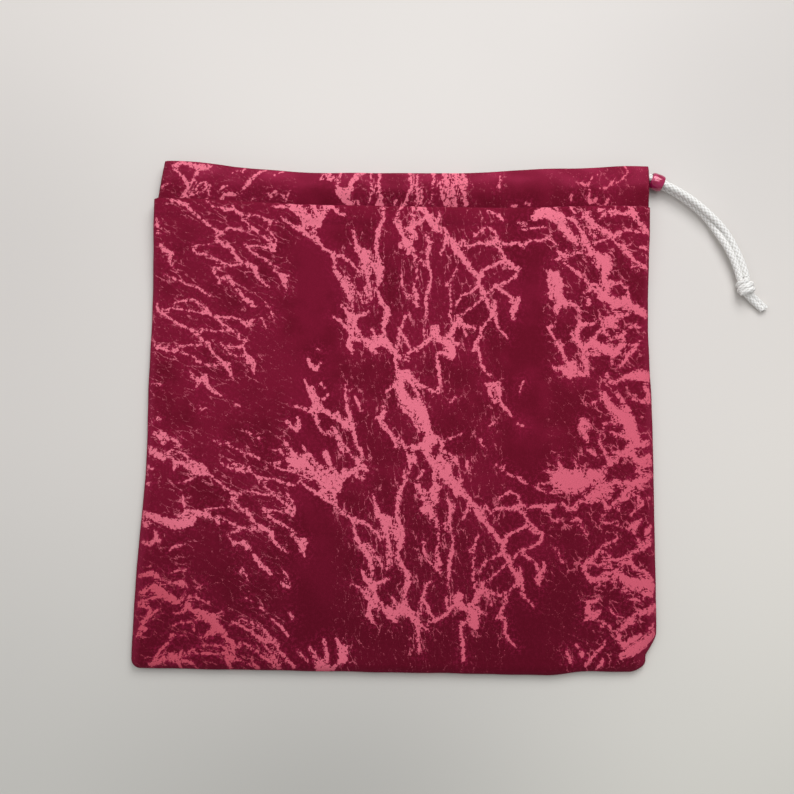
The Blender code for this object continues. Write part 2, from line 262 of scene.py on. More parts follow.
def makeTable():
    bm = bmesh.new()
    bmesh.ops.create_grid(bm, x_segments=2, y_segments=2, size=tableHalf)
    mesh = bpy.data.meshes.new("table")
    bm.to_mesh(mesh)
    bm.free()
    table = linked("table", mesh)
    material, graph, shader = startMaterial("paleTable", {"Roughness": 0.6})
    place = graph.add("ShaderNodeTexCoord")["Object"]
    parts = graph.add("ShaderNodeSeparateXYZ", None, {0: place})
    # Painted shade and light: darker towards the bottom and the top right, lighter on the right
    # and lower right
    low = (parts[1] * -1.0).step(-0.10, 0.30)
    cloudy = graph.noise(place, 7.0, 2.0)
    near = (parts[0] * 0.8 + parts[1]).step(0.02, 0.34)
    right = (parts[0] - parts[1] * 0.6).step(0.08, 0.32)
    tone = graph.blend(low, tableTonesAndPaintedShading["far"], tableTonesAndPaintedShading["near"])
    tone = graph.blend(near, tone, tableTonesAndPaintedShading["corner"])
    tone = graph.blend(cloudy.step(0.3, 0.7, 0.0, 0.15), tone, tableTonesAndPaintedShading["cloudy"])
    tone = graph.blend(right, tone, tableTonesAndPaintedShading["right"], "MULTIPLY")
    for (shadeX, shadeY), shadeReach, strength in tableShades:
        away = ((parts[0] - shadeX) ** 2 + (parts[1] - shadeY) ** 2) ** 0.5
        tone = graph.blend(away.step(shadeReach, 0.0) * strength, tone, tableTonesAndPaintedShading["shade"])
    feed(graph, shader, "Base Color", tone)
    table.data.materials.append(material)


makeCamera()
makeLamps()
makeTable()
print("camera, lamps and table made")


# The pouch's form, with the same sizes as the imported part

pouch = {
    "width": 0.2870, "bodyHeight": 0.2635, "casingHeight": 0.0236, "cloth": 0.0005,
    "clearance": 0.0003, "allowance": 0.008, "allowanceTrim": 0.0009, "inside": 0.0050,
    "mouthOpening": 0.0049, "sideSeamHeight": 0.0026, "edgeRoll": 0.0050,
    "mouthEdgeRoll": 0.0025, "leftCorner": 0.0050, "rightCorner": 0.0080,
    "clippedCorner": (0.0085, 0.021), "clipBend": 1.3, "clipFrom": 0.6,
    "waist": 0.0016, "waistPlace": 0.055, "waistLength": 0.040, "slopeLength": 0.075,
    "leftSetback": 0.0020, "rightSetback": 0.0015, "casingFold": 0.00035, "lean": 0.0030,
    "lift": 0.00015, "puff": 0.0008, "cordPlay": 0.00035,
    "seamSag": {1: 0.0042, -1: 0.0020}, "topSag": {1: 0.0076, -1: 0.0045},
    "gatherReach": 0.010, "gatherRamp": 0.085, "pairDrop": 0.0003,
    "cord": 0.0033, "cordPlace": 0.64, "exitPlace": 0.76,
    "arcRadius": 0.0798, "exitAngle": 73.0, "beadAngle": 68.6, "knotAngle": 13.3,
}
# The front's top fold: place along the mouth, length, and how far it lies low or high there
topLows = [(-0.050, 0.040, 0.0010), (-0.094, 0.024, 0.0012)]
topHigh = (0.072, 0.030, 0.0021)
topEnds = {"right": ((0.108, 0.03), 0.0009), "left": ((0.09, 0.05), 0.0007)}
cloth = pouch["cloth"]
halfWidth = pouch["width"] / 2
bottomY = -(pouch["bodyHeight"] + pouch["casingHeight"]) / 2
seamTopY = bottomY + pouch["bodyHeight"]
mouthTopY = seamTopY + pouch["casingHeight"]
layer = cloth + pouch["clearance"]
channel = pouch["cord"] + 2 * pouch["cordPlay"] + 2 * cloth
backPairZ = 2 * layer + cloth + pouch["clearance"] / 2
panelOverPair = backPairZ - cloth / 2
backChannelZ = pouch["lift"] + channel / 2
endFrontChannelZ = pouch["lift"] + channel + pouch["clearance"] + channel / 2
mouthSeamHeight = (cloth / 2 + endFrontChannelZ - pouch["pairDrop"] + panelOverPair) / 2
plateauZ = cloth + pouch["inside"] + cloth / 2
casingRight = halfWidth - pouch["rightSetback"]
casingLeft = -(halfWidth - pouch["leftSetback"])
cordZ = (backChannelZ + endFrontChannelZ) / 2


def topDrift(x, side):
    # The front's top fold lies lower on the left of the middle and higher on the right
    if side < 0:
        return 0.0
    low = sum(hump(x, place, length) * size for place, length, size in topLows)
    place, length, size = topHigh
    high = hump(x, place, length) * size
    rightEnd, rightSize = topEnds["right"]
    leftEnd, leftSize = topEnds["left"]
    return high - low + (rise(x, rightEnd) * rightSize - rise(-x, leftEnd) * leftSize)


def gather(x):
    # 1 in the middle of the mouth, where the cord draws it down and it stands open
    return ease((halfWidth - pouch["gatherReach"] - abs(x)) / pouch["gatherRamp"])


def seamY(x, side):
    return seamTopY - pouch["seamSag"][side] * gather(x)


def topY(x, side):
    level = mouthTopY - pouch["casingFold"] - pouch["topSag"][side] * gather(x)
    return level + topDrift(x, side)


def channelThickness(x, side):
    return channel + (pouch["puff"] * gather(x) if side > 0 else 0.0)


def frontChannelZ(x):
    gap = mix(pouch["clearance"], pouch["mouthOpening"], gather(x))
    return pouch["lift"] + channel + gap + channelThickness(x, 1) / 2


def frontPairZ(x):
    return frontChannelZ(x) - pouch["pairDrop"] * (1 + gather(x))


def frontHeight(x, y):
    w = ease((y - (seamY(x, 1) - pouch["slopeLength"])) / pouch["slopeLength"])
    return mix(plateauZ, frontPairZ(x) + panelOverPair, w)


def sideSeamHeight(y):
    w = ease((y - (seamTopY - pouch["slopeLength"])) / pouch["slopeLength"])
    return mix(pouch["sideSeamHeight"], mouthSeamHeight, w)


def sideEdge(y):
    drawnIn = hump(y, pouch["waistPlace"], pouch["waistLength"])
    return halfWidth - cloth / 2 - pouch["waist"] * drawnIn


def clipCorner(x, y):
    across, up = pouch["clippedCorner"]
    depth = max(0.0, (bottomY + up - y) / up)
    near = ease((x / halfWidth - pouch["clipFrom"]) / (1 - pouch["clipFrom"]))
    return across * depth ** pouch["clipBend"] * near


# Cloth panels

panelDetail = {
    "edgeWander": 0.00030, "wave": 0.00035, "waveScale": 22, "pucker": 0.00030,
    "puckerReach": 0.012, "sidePucker": 0.00035, "sideReach": 0.010, "sideStart": 0.004,
    "crease": 0.00025, "allowanceStep": 0.0006, "allowanceWidth": 0.0115,
    "allowanceWaver": 0.0007, "stepLength": 0.0032, "backShare": 0.25, "backLift": 0.00003,
    "hollow": 0.0026, "hollowPlace": -0.030, "hollowLength": 0.045, "cornerUp": 0.0025,
    "cornerIn": 0.0030, "seed": 3.7, "foldRun": 0.004,
}
driftBands = {  # where the outline drifts: start and length across (x) or down (-y)
    "hollowLeft": (0.06, 0.08), "raisedAcross": (0.082, 0.028), "raisedDown": (0.100, 0.035),
    "drawnAcross": (0.10, 0.035), "drawnDown": (0.116, 0.024), "drawnBack": (0.133, 0.0075),
}
panelGrids = {  # cells in a rolled edge, across and up, and how much coarser the inner face is
    "front": {"edge": 8, "across": 288, "up": 256, "coarse": 4},
    "back": {"edge": 8, "across": 192, "up": 176, "coarse": 4},
}


def panelPlace(u, v, side):
    # Middle of the cloth at u across (beyond 1 the rolled side edges) and v up (0 to 1 the rolled
    # bottom, 1 to 2 the panel, 2 to 3 the fold at the seam, 3 to 4 the allowance), and the place
    # on the flat cloth
    corner = pouch["rightCorner"] if u > 0 else pouch["leftCorner"]
    edgeRoll = pouch["edgeRoll"]
    rollX = mix(corner, edgeRoll, ease((v - 1) / 0.15))
    rollX = mix(rollX, pouch["mouthEdgeRoll"], ease((v - 1.7) / 0.3))
    rollY = mix(edgeRoll, corner, ease((abs(u) - 0.85) / 0.15))
    a = math.sin(math.radians(90 * max(0.0, abs(u) - 1)))
    b = math.sin(math.radians(90 * max(0.0, 1 - v)))
    low = bottomY + cloth / 2
    fold = layer / 2
    y = low + rollY * (1 - b * math.sqrt(1 - a * a / 2))
    across = min(max(u, -1.0), 1.0)
    if v > 1:
        y = mix(low + rollY, seamY(across * halfWidth, side) - fold - cloth / 2, min(v, 2.0) - 1)
    inner = sideEdge(y) - rollX
    x = across * inner + math.copysign(rollX * a * math.sqrt(1 - b * b / 2), u)
    x -= clipCorner(x, y)
    turn = math.radians(180 * min(max(v - 2, 0.0), 1.0))
    inward = fold * (1 - math.cos(turn))
    if v > 2:
        y += fold * math.sin(turn) - pouch["allowance"] * max(0.0, v - 3)
    seam = sideSeamHeight(y) + side * (pouch["clearance"] / 2)
    level = frontHeight(x, y) if side > 0 else cloth / 2
    z = mix(seam, level, math.sqrt(1 - a * a) * math.sqrt(1 - b * b))
    flatX = across * inner + math.copysign(rollX * max(0.0, abs(u) - 1) * math.pi / 2, u)
    flatY = y if v <= 2 else seamY(x, side) + (v - 2) * panelDetail["foldRun"]
    return Vector((x, y, z - side * inward)), (flatX, flatY)


def edgeBand(away):
    # 1 close to an edge, and 0 on it and away from it
    return math.exp(-away / panelDetail["sideReach"]) * ease(away / panelDetail["sideStart"])


def clothRelief(x, y, side):
    # What the cloth stands out of its plain form: broad waves, and puckers along the seams
    d = panelDetail
    here = Vector((x, y, d["seed"] * side))
    toSeam = max(0.0, seamTopY - y)
    toSide = max(0.0, halfWidth - abs(x))
    toBottom = max(0.0, y - bottomY)
    middle = ease(toSide / 0.02) * ease(toBottom / 0.02) * ease(toSeam / 0.03)
    under = d["allowanceWidth"] + d["allowanceWaver"] * noise.noise(Vector((x * 40, 0.5, 0.2)))
    below = seamY(x, side) - y
    stepped = ease((under - below) / d["stepLength"]) * ease(below / 0.0015)
    lift = d["wave"] * noise.noise(here * d["waveScale"]) * middle
    lift += d["crease"] * noise.noise(Vector((x * 60 + y * 25, y * 34 - x * 12, side))) * middle
    lift += d["allowanceStep"] * stepped * ease(toSide / 0.01)
    along = noise.noise(Vector((x * 130, y * 22, 4.0 * side)))
    lift += d["pucker"] * max(0.0, along) * math.exp(-toSeam / d["puckerReach"])
    along = noise.noise(Vector((x * 25, y * 120, 9.0 * side)))
    lift += d["sidePucker"] * along * edgeBand(toSide)
    along = noise.noise(Vector((x * 110, y * 25, 14.0 * side)))
    lift += d["sidePucker"] * along * edgeBand(toBottom)
    return lift * (1 if side > 0 else d["backShare"])


def edgeWander(x, y, u, v):
    # The seams' small waver, outwards and inwards along the edge
    d = panelDetail
    sideways = d["edgeWander"] * noise.noise(Vector((5.0, y * 60, 2.0))) * ease(abs(u) - 0.5)
    upDown = d["edgeWander"] * noise.noise(Vector((x * 55, 8.0, 2.0))) * ease(1.5 - v)
    return Vector((math.copysign(sideways, sideways * u), upDown, 0.0))


def outlineDrift(x, y):
    # The outline as it lies: hollower on the left, and drawn up and in at the right bottom corner
    d = panelDetail
    bands = driftBands
    hollow = hump(y, d["hollowPlace"], d["hollowLength"]) * rise(-x, bands["hollowLeft"])
    raised = rise(x, bands["raisedAcross"]) * rise(-y, bands["raisedDown"])
    drawnIn = rise(-y, bands["drawnDown"]) ** 1.5 * (1 - 1.25 * rise(-y, bands["drawnBack"]))
    drawnIn *= rise(x, bands["drawnAcross"])
    return Vector((d["hollow"] * hollow - d["cornerIn"] * drawnIn, d["cornerUp"] * raised, 0.0))


def closedCloth(name, middle, flat, kept, coarse, outward, attributes, material):
    # middle is a grid of points in the middle of the cloth. Its outer face is as fine as the grid
    # and its inner face coarser, and short walls join them round the edge.
    rows, columns = middle.shape[:2]
    du = np.gradient(middle, axis=1)
    dv = np.gradient(middle, axis=0)
    normal = np.cross(du, dv) * outward
    normal /= np.maximum(np.linalg.norm(normal, axis=2, keepdims=True), 1e-12)
    outer = (middle + normal * cloth / 2).reshape(-1, 3)
    inner = (middle - normal * cloth / 2)[::coarse, ::coarse].reshape(-1, 3)
    innerColumns = (columns - 1) // coarse + 1
    start = len(outer)

    def fine(j, i):
        return j * columns + i

    def rough(j, i):
        return start + (j // coarse) * innerColumns + i // coarse

    faces = []
    for j in range(0, rows - 1, coarse):
        for i in range(0, columns - 1, coarse):
            if not kept(j, i):
                continue
            e, f = j + coarse, i + coarse
            for row in range(j, e):
                for k in range(i, f):
                    faces.append((fine(row, k), fine(row, k + 1), fine(row + 1, k + 1),
                                  fine(row + 1, k)))
            faces.append((rough(j, i), rough(e, i), rough(e, f), rough(j, f)))
            if not kept(j - coarse, i):
                wall = [fine(j, k) for k in range(f, i - 1, -1)]
                faces.append([rough(j, i), rough(j, f)] + wall)
            if not kept(e, i):
                wall = [fine(e, k) for k in range(i, f + 1)]
                faces.append([rough(e, f), rough(e, i)] + wall)
            if not kept(j, i - coarse):
                wall = [fine(k, i) for k in range(j, e + 1)]
                faces.append([rough(e, i), rough(j, i)] + wall)
            if not kept(j, f):
                wall = [fine(k, f) for k in range(e, j - 1, -1)]
                faces.append([rough(j, f), rough(e, f)] + wall)
    if outward < 0:
        faces = [face[::-1] for face in faces]
    points = np.concatenate([outer, inner])
    values = {}
    for key, grid in {**attributes, "flat": flat}.items():
        wide = grid.reshape(rows * columns, -1)
        narrow = grid[::coarse, ::coarse].reshape(len(inner), -1)
        values[key] = np.concatenate([wide, narrow])
    return clothMesh(name, points, faces, values, material)


def clothMesh(name, points, faces, values, material):
    mesh = bpy.data.meshes.new(name)
    mesh.from_pydata([tuple(p) for p in points], [], faces)
    for key, grid in values.items():
        if key == "flat":
            continue
        wide = grid.shape[1] == 3
        attribute = mesh.attributes.new(key, "FLOAT_VECTOR" if wide else "FLOAT", "POINT")
        numbers = np.ascontiguousarray(grid, dtype=np.float32).ravel()
        attribute.data.foreach_set("vector" if wide else "value", numbers)
    clothPlace = mesh.uv_layers.new(name="clothPlace")
    order = np.zeros(len(mesh.loops), dtype=np.int32)
    mesh.loops.foreach_get("vertex_index", order)
    numbers = np.ascontiguousarray(values["flat"][order], dtype=np.float32).ravel()
    clothPlace.data.foreach_set("uv", numbers)
    bm = bmesh.new()
    bm.from_mesh(mesh)
    loose = [v for v in bm.verts if not v.link_faces]
    bmesh.ops.delete(bm, geom=loose, context="VERTS")
    bm.to_mesh(mesh)
    bm.free()
    mesh.shade_smooth()
    mesh.materials.append(material)
    return linked(name, mesh)


# The print. A vein is a brush stroke, a run of x, y, half width in pixels of the 794-pixel
# frame, and the camera's view lays it on the cloth.

repeatedVeins = [
    (376, 288, 0.8, 380, 298, 1.6, 381, 305, 1), (382, 300, 0.6, 386, 308, 2, 387, 315, 2.6, 385,
    321, 1.8, 383, 329, 0.9, 388, 339, 0.5), (349, 262, 0.6, 357, 268, 1, 361, 275, 0.6), (347,
    276, 0.5, 353, 285, 0.7, 359, 294, 0.9, 363, 303, 0.5), (398, 222, 1.6, 401, 230, 2.2, 403,
    236, 1.2), (457, 305, 0.5, 461, 296, 0.8, 470, 292, 0.7, 476, 288, 0.9), (447, 286, 1.2, 452,
    278, 0.7, 456, 269, 0.4), (365, 287, 0.7, 368, 296, 1.2, 367, 303, 0.6), (402, 207, 1.2, 397,
    215, 0.8), (413, 205, 1.2, 412, 216, 0.7), (424, 330, 1.1, 425, 341, 0.7), (383, 208, 0.8, 384,
    218, 1, 379, 228, 1.8, 376, 242, 1.5, 377, 255, 1.6, 381, 268, 2.5, 379, 280, 2.5, 377, 288,
    0.6), (353, 231, 0.8, 355, 240, 1.2, 358, 250, 2.5, 366, 254, 3, 371, 262, 1.2, 377, 272, 2),
    (363, 255, 3, 366, 268, 2.2, 368, 280, 1.5, 371, 290, 0.8, 371, 300, 0.5), (330, 252, 1, 337,
    255, 1.3, 345, 258, 1, 350, 262, 0.8), (333, 256, 0.9, 336, 272, 1.5, 343, 282, 2.2, 349, 292,
    2.5, 352, 302, 1.5, 353, 309, 0.5), (342, 305, 1, 347, 312, 1.5, 354, 317, 2, 362, 315, 1.2,
    368, 312, 0.8), (354, 318, 2, 354, 328, 2, 350, 336, 1.5, 349, 345, 2, 353, 353, 1), (333, 317,
    0.8, 341, 321, 1, 347, 328, 1.2, 352, 336, 1.5, 359, 340, 1), (345, 310, 1, 352, 322, 2, 357,
    330, 1.5, 362, 338, 1, 368, 347, 1.8, 375, 352, 1.5), (367, 340, 2, 374, 345, 3, 382, 339, 3.5,
    388, 345, 3, 394, 351, 2.5, 398, 354, 1.5, 402, 358, 0.8, 408, 361, 0.5), (372, 330, 1, 377,
    338, 1.5, 382, 341, 3), (408, 353, 1, 416, 350, 1.3, 424, 345, 1.5, 430, 339, 1.5, 434, 334, 3,
    436, 329, 3), (434, 330, 3.2, 439, 339, 2, 446, 342, 2.5, 451, 348, 3.5, 451, 355, 3.8, 444,
    353, 1.5, 438, 353, 1), (437, 340, 1.5, 446, 340, 2, 452, 333, 2.2, 455, 325, 2.5, 460, 321,
    1.8, 458, 316, 1.2), (460, 322, 1.5, 467, 326, 1, 475, 328, 0.8), (463, 326, 1, 465, 333, 0.8,
    467, 337, 0.6), (452, 341, 1.5, 458, 343, 0.8, 462, 345, 0.6), (394, 350, 1.5, 396, 362, 1,
    397, 374, 1, 398, 380, 1.2), (437, 356, 1.2, 438, 366, 1.3, 440, 378, 1.3, 440, 388, 1.2),
    (399, 345, 0.8, 399, 335, 1, 403, 323, 1, 406, 316, 1, 410, 314, 0.6), (400, 329, 0.7, 405,
    338, 0.9, 409, 346, 0.9, 412, 350, 0.8), (394, 220, 0.8, 398, 226, 1.5, 402, 231, 2), (414,
    216, 1, 412, 226, 2.5, 415, 237, 2), (408, 227, 1, 412, 232, 2.5), (402, 245, 2.5, 406, 242,
    3.5, 410, 247, 2.5, 408, 254, 1.5), (418, 208, 1.5, 425, 211, 2, 430, 220, 2.5, 436, 229, 2.5,
    440, 231, 1), (412, 228, 1.5, 420, 222, 1.2, 426, 218, 1.5), (436, 225, 1.5, 440, 216, 0.8,
    438, 212, 0.6), (409, 246, 1.2, 413, 249, 1, 415, 256, 1, 414, 262, 0.7), (426, 236, 1, 430,
    243, 1.8, 428, 250, 1.3, 427, 258, 1, 429, 268, 0.9, 431, 276, 1, 430, 285, 1.2, 427, 295, 1.5,
    426, 308, 1, 426, 318, 0.7), (416, 267, 0.6, 417, 275, 0.5, 414, 285, 0.6, 413, 290, 0.4),
    (418, 262, 0.6, 424, 258, 0.6, 424, 265, 0.5), (402, 273, 0.8, 402, 285, 0.7, 405, 293, 0.5,
    411, 299, 0.5), (415, 290, 1.8, 417, 298, 1.5, 414, 302, 1.2, 417, 306, 1.2), (444, 228, 0.8,
    447, 236, 2, 453, 243, 2.5, 457, 250, 3.2, 461, 255, 2, 465, 261, 2.2, 470, 268, 1.8, 475, 274,
    2, 480, 280, 1.5, 478, 284, 1.2, 482, 290, 2, 485, 297, 2, 488, 304, 1.5, 492, 312, 1.8, 496,
    320, 1.5, 498, 328, 0.8), (458, 251, 1, 463, 239, 0.7, 465, 245, 0.6, 468, 248, 0.7), (446,
    238, 1, 444, 248, 0.8, 441, 254, 0.5), (475, 274, 1.2, 481, 275, 2, 483, 270, 1), (474, 236,
    0.7, 480, 231, 0.8, 487, 227, 0.8, 493, 230, 0.7, 497, 236, 0.8), (473, 245, 0.9, 480, 243,
    1.2, 489, 244, 1.5, 496, 240, 1.5, 501, 242, 0.8), (493, 243, 1.2, 499, 249, 1, 504, 256, 1.3,
    509, 262, 1.5, 514, 267, 1.2, 519, 268, 1), (482, 272, 0.8, 487, 268, 1, 494, 266, 1.2, 500,
    261, 1, 507, 261, 1), (503, 262, 0.8, 510, 268, 1, 517, 269, 1), (518, 268, 1.2, 516, 276, 1.3,
    508, 281, 1, 500, 284, 1, 496, 285, 1.2, 491, 290, 0.8, 486, 294, 0.8), (496, 285, 1.3, 502,
    291, 1.2, 508, 294, 1, 511, 298, 0.8, 512, 302, 1.5), (518, 297, 0.8, 518, 303, 1.5, 514, 309,
    3, 512, 313, 2, 514, 320, 0.5), (484, 296, 0.6, 478, 302, 0.6, 470, 309, 0.5, 463, 314, 0.6),
    (495, 302, 1, 495, 310, 1.5, 497, 318, 1), (491, 316, 0.6, 487, 321, 0.6, 484, 327, 0.6), (497,
    322, 0.8, 499, 330, 0.7, 503, 333, 0.5, 508, 338, 0.4), (480, 325, 0.6, 481, 335, 1, 476, 343,
    1.2, 473, 350, 0.8), (476, 345, 1, 480, 353, 1.3, 480, 362, 1.2, 484, 370, 1, 490, 375, 0.7),
    (451, 283, 0.6, 450, 290, 0.5, 450, 305, 0.5, 450, 315, 0.8, 452, 322, 0.8), (503, 244, 1, 512,
    243, 1, 520, 243, 1, 524, 246, 1.5, 527, 242, 1), (488, 212, 0.6, 497, 214, 0.8, 503, 220, 0.8,
    497, 216, 0.8), (172, 200, 1, 180, 203, 1.5, 187, 205, 1.8, 190, 209, 1.2, 198, 216, 0.8, 206,
    223, 0.8, 214, 229, 1, 222, 232, 1.5), (222, 232, 1.5, 216, 237, 0.8, 224, 245, 1.5, 231, 248,
    2, 235, 255, 1.2, 241, 261, 1.2, 247, 264, 2, 254, 268, 2.5, 257, 276, 1.5, 262, 281, 0.8, 266,
    285, 0.8, 269, 287, 0.8), (222, 232, 1, 228, 228, 0.8, 236, 229, 0.8, 245, 231, 0.7, 255, 230,
    1, 262, 236, 1, 268, 240, 1.2, 273, 244, 1.5), (207, 202, 0.8, 214, 207, 0.6, 222, 208, 1.2,
    228, 211, 1.5, 233, 208, 1.2), (233, 209, 1, 240, 214, 0.8, 248, 216, 0.8, 257, 216, 0.8, 263,
    218, 0.8, 270, 221, 1.5, 276, 222, 0.8), (240, 216, 0.7, 246, 222, 0.8, 252, 227, 0.8, 258,
    231, 0.8), (268, 228, 0.6, 272, 234, 0.6, 276, 240, 0.5), (245, 245, 0.9, 252, 246, 0.7, 262,
    247, 0.7, 270, 248, 1.2, 274, 250, 1.8, 276, 242, 1), (246, 246, 1, 252, 252, 1, 259, 257, 1,
    266, 260, 0.8, 272, 264, 0.7, 278, 268, 0.5), (275, 270, 0.8, 279, 274, 1.5, 285, 277, 3.2,
    284, 283, 2, 287, 290, 0.5), (192, 246, 0.5, 204, 245, 0.4, 216, 243, 0.4), (193, 250, 1, 197,
    254, 0.8), (203, 253, 0.8, 210, 256, 0.9, 217, 260, 0.8, 226, 264, 1, 234, 266, 1.2, 238, 264,
    0.8, 245, 264, 0.8), (213, 268, 0.7, 218, 268, 1, 226, 266, 1), (213, 270, 0.5, 216, 276, 0.6,
    220, 283, 0.8), (221, 278, 1, 228, 278, 2.2, 233, 283, 1.8), (236, 289, 0.8, 241, 293, 1.8,
    245, 299, 1.8, 251, 303, 2, 255, 307, 1), (273, 207, 0.8, 285, 207, 1.2, 292, 209, 1.5, 297,
    214, 1.5, 303, 220, 1.5, 308, 223, 3), (300, 207, 2, 306, 213, 1.5, 312, 222, 3, 318, 224, 3,
    321, 217, 2, 325, 213, 1.2), (325, 207, 2, 333, 208, 1.5, 338, 213, 1, 344, 215, 1), (281, 217,
    0.8, 288, 223, 1, 296, 228, 1.5, 303, 230, 2, 308, 234, 1.2), (303, 226, 1.5, 305, 234, 1.5,
    311, 238, 1, 317, 241, 1.5, 323, 248, 1, 331, 252, 0.8, 335, 256, 0.8), (316, 225, 1.8, 314,
    233, 1.2, 317, 239, 1), (290, 202, 2, 299, 213, 1.8, 306, 223, 2.5), (306, 190, 2, 312, 205,
    1.5, 320, 216, 2.5),
]
middleVeins = [
    (324, 639, 0.7, 327, 655, 1.4, 326, 671, 1.8), (337, 640, 1.2, 341, 651, 2.4, 343, 660, 2.6,
    338, 664, 1), (347, 646, 1, 346, 658, 1.2), (316, 662, 1.2, 321, 670, 3, 332, 668, 2.2), (290,
    613, 0.6, 293, 618, 1), (399, 374, 3, 406, 374, 4, 410, 377, 2), (397, 370, 1.2, 400, 380, 3,
    401, 392, 3.5, 406, 401, 4, 414, 406, 4.5, 421, 410, 4.5, 425, 420, 4, 427, 430, 3, 430, 436,
    3), (406, 378, 2, 413, 384, 1.3, 417, 392, 1, 420, 400, 2.5), (412, 378, 1.5, 420, 385, 1.2,
    428, 388, 1, 433, 392, 1.2, 437, 392, 1.5, 440, 386, 1.2), (432, 438, 4, 424, 446, 3.5, 416,
    447, 2, 408, 446, 1), (430, 442, 4, 426, 451, 3, 431, 460, 2.5, 436, 467, 2.5, 441, 472, 3,
    448, 478, 3.5, 454, 484, 3.5, 461, 492, 2.5, 467, 497, 2), (438, 437, 1.5, 442, 445, 1.2, 441,
    452, 1.2, 440, 460, 2, 447, 466, 3, 450, 474, 2.5), (444, 452, 1, 450, 455, 0.9, 455, 458, 2,
    457, 463, 1.5, 458, 466, 0.6), (399, 404, 1, 405, 411, 1.2, 411, 416, 1, 416, 424, 1.2, 420,
    432, 1), (410, 412, 1.2, 416, 414, 1.2, 421, 420, 2), (387, 392, 0.6, 392, 386, 1, 398, 382,
    2), (377, 418, 1, 381, 417, 2.2, 384, 412, 1.5, 384, 407, 0.8), (379, 419, 1.5, 385, 427, 2,
    391, 434, 1.2, 395, 441, 1, 396, 447, 0.8), (399, 438, 1, 404, 444, 1, 407, 451, 0.8, 409, 460,
    0.8, 410, 468, 0.9, 408, 475, 0.8), (410, 462, 1.5, 413, 458, 3, 416, 462, 1.5), (449, 402,
    0.8, 452, 400, 0.8, 456, 397, 0.4), (486, 384, 0.8, 492, 385, 2, 498, 383, 1.5, 499, 392, 2.2,
    499, 399, 1.5, 494, 402, 1), (489, 388, 1.5, 491, 396, 1.5), (500, 401, 0.8, 503, 406, 1.2,
    508, 412, 0.8, 512, 415, 0.8), (523, 381, 0.4, 520, 391, 0.3), (518, 424, 0.8, 523, 426, 1),
    (445, 441, 0.4, 450, 438, 0.6, 455, 437, 0.4, 462, 434, 0.3), (480, 439, 0.5, 482, 445, 0.5,
    487, 449, 0.3), (490, 426, 0.6, 494, 422, 0.6), (467, 462, 0.8, 466, 467, 1), (496, 465, 0.8,
    503, 470, 0.6, 504, 466, 0.6), (508, 474, 0.6, 516, 476, 0.8, 523, 480, 1, 526, 484, 0.6),
    (305, 380, 0.5, 308, 387, 1.5, 312, 396, 2, 315, 404, 2.2, 314, 412, 1.5), (295, 406, 0.8, 303,
    408, 1, 311, 412, 1.5, 316, 416, 1.5), (318, 408, 1.5, 325, 411, 2, 333, 416, 1.8, 341, 421, 2,
    347, 426, 3.2, 352, 425, 2.5), (328, 394, 0.8, 322, 401, 0.7, 320, 407, 1), (313, 386, 0.5,
    316, 395, 0.8, 318, 404, 1), (321, 384, 0.8, 325, 388, 0.6), (338, 412, 0.8, 341, 420, 1),
    (345, 386, 0.5, 346, 395, 1, 347, 405, 1, 349, 412, 1.5, 350, 420, 2), (355, 397, 1, 358, 404,
    0.8, 361, 410, 1), (316, 418, 1.5, 319, 427, 1, 324, 433, 1, 328, 433, 0.5, 332, 437, 0.6),
    (332, 427, 0.6, 337, 434, 1.2, 341, 441, 0.9, 347, 449, 0.8, 353, 457, 0.8, 359, 464, 1), (353,
    428, 1.5, 355, 436, 1.5, 356, 444, 1.8, 361, 450, 1.2, 362, 456, 1), (338, 438, 0.8, 339, 446,
    0.9, 344, 452, 0.9), (287, 418, 0.6, 287, 423, 0.6, 292, 427, 1, 298, 427, 2, 299, 422, 1, 297,
    417, 0.8), (284, 440, 0.7, 289, 447, 1, 293, 453, 2, 297, 461, 4.5, 303, 464, 3.5), (287, 458,
    1.5, 292, 463, 3, 300, 468, 3), (303, 445, 0.7, 306, 452, 1.2, 305, 460, 3), (306, 451, 0.8,
    313, 459, 0.8, 320, 467, 0.8, 327, 473, 1, 334, 480, 1.5), (308, 465, 2, 313, 473, 1.3, 319,
    481, 1, 326, 488, 1.6, 331, 490, 2), (316, 470, 0.7, 323, 476, 0.6, 330, 483, 1.1, 335, 487,
    2.6, 340, 484, 1.5), (340, 475, 1.5, 347, 474, 2.5, 355, 470, 2, 362, 466, 1.8, 366, 470, 1.2),
    (359, 462, 2, 364, 468, 1.5), (271, 463, 0.6, 279, 462, 0.8, 274, 466, 0.6, 283, 470, 0.5, 296,
    473, 0.7, 303, 476, 0.6, 311, 479, 0.6), (273, 450, 0.8, 280, 450, 0.8, 284, 455, 0.8), (247,
    432, 0.7, 250, 434, 0.6), (258, 437, 0.6, 260, 442, 0.4), (236, 449, 0.5, 243, 452, 0.7, 250,
    454, 1.2, 255, 456, 0.8, 260, 460, 0.6), (215, 441, 0.4, 219, 444, 0.6, 224, 443, 0.4), (228,
    442, 0.6, 230, 446, 0.8),
]
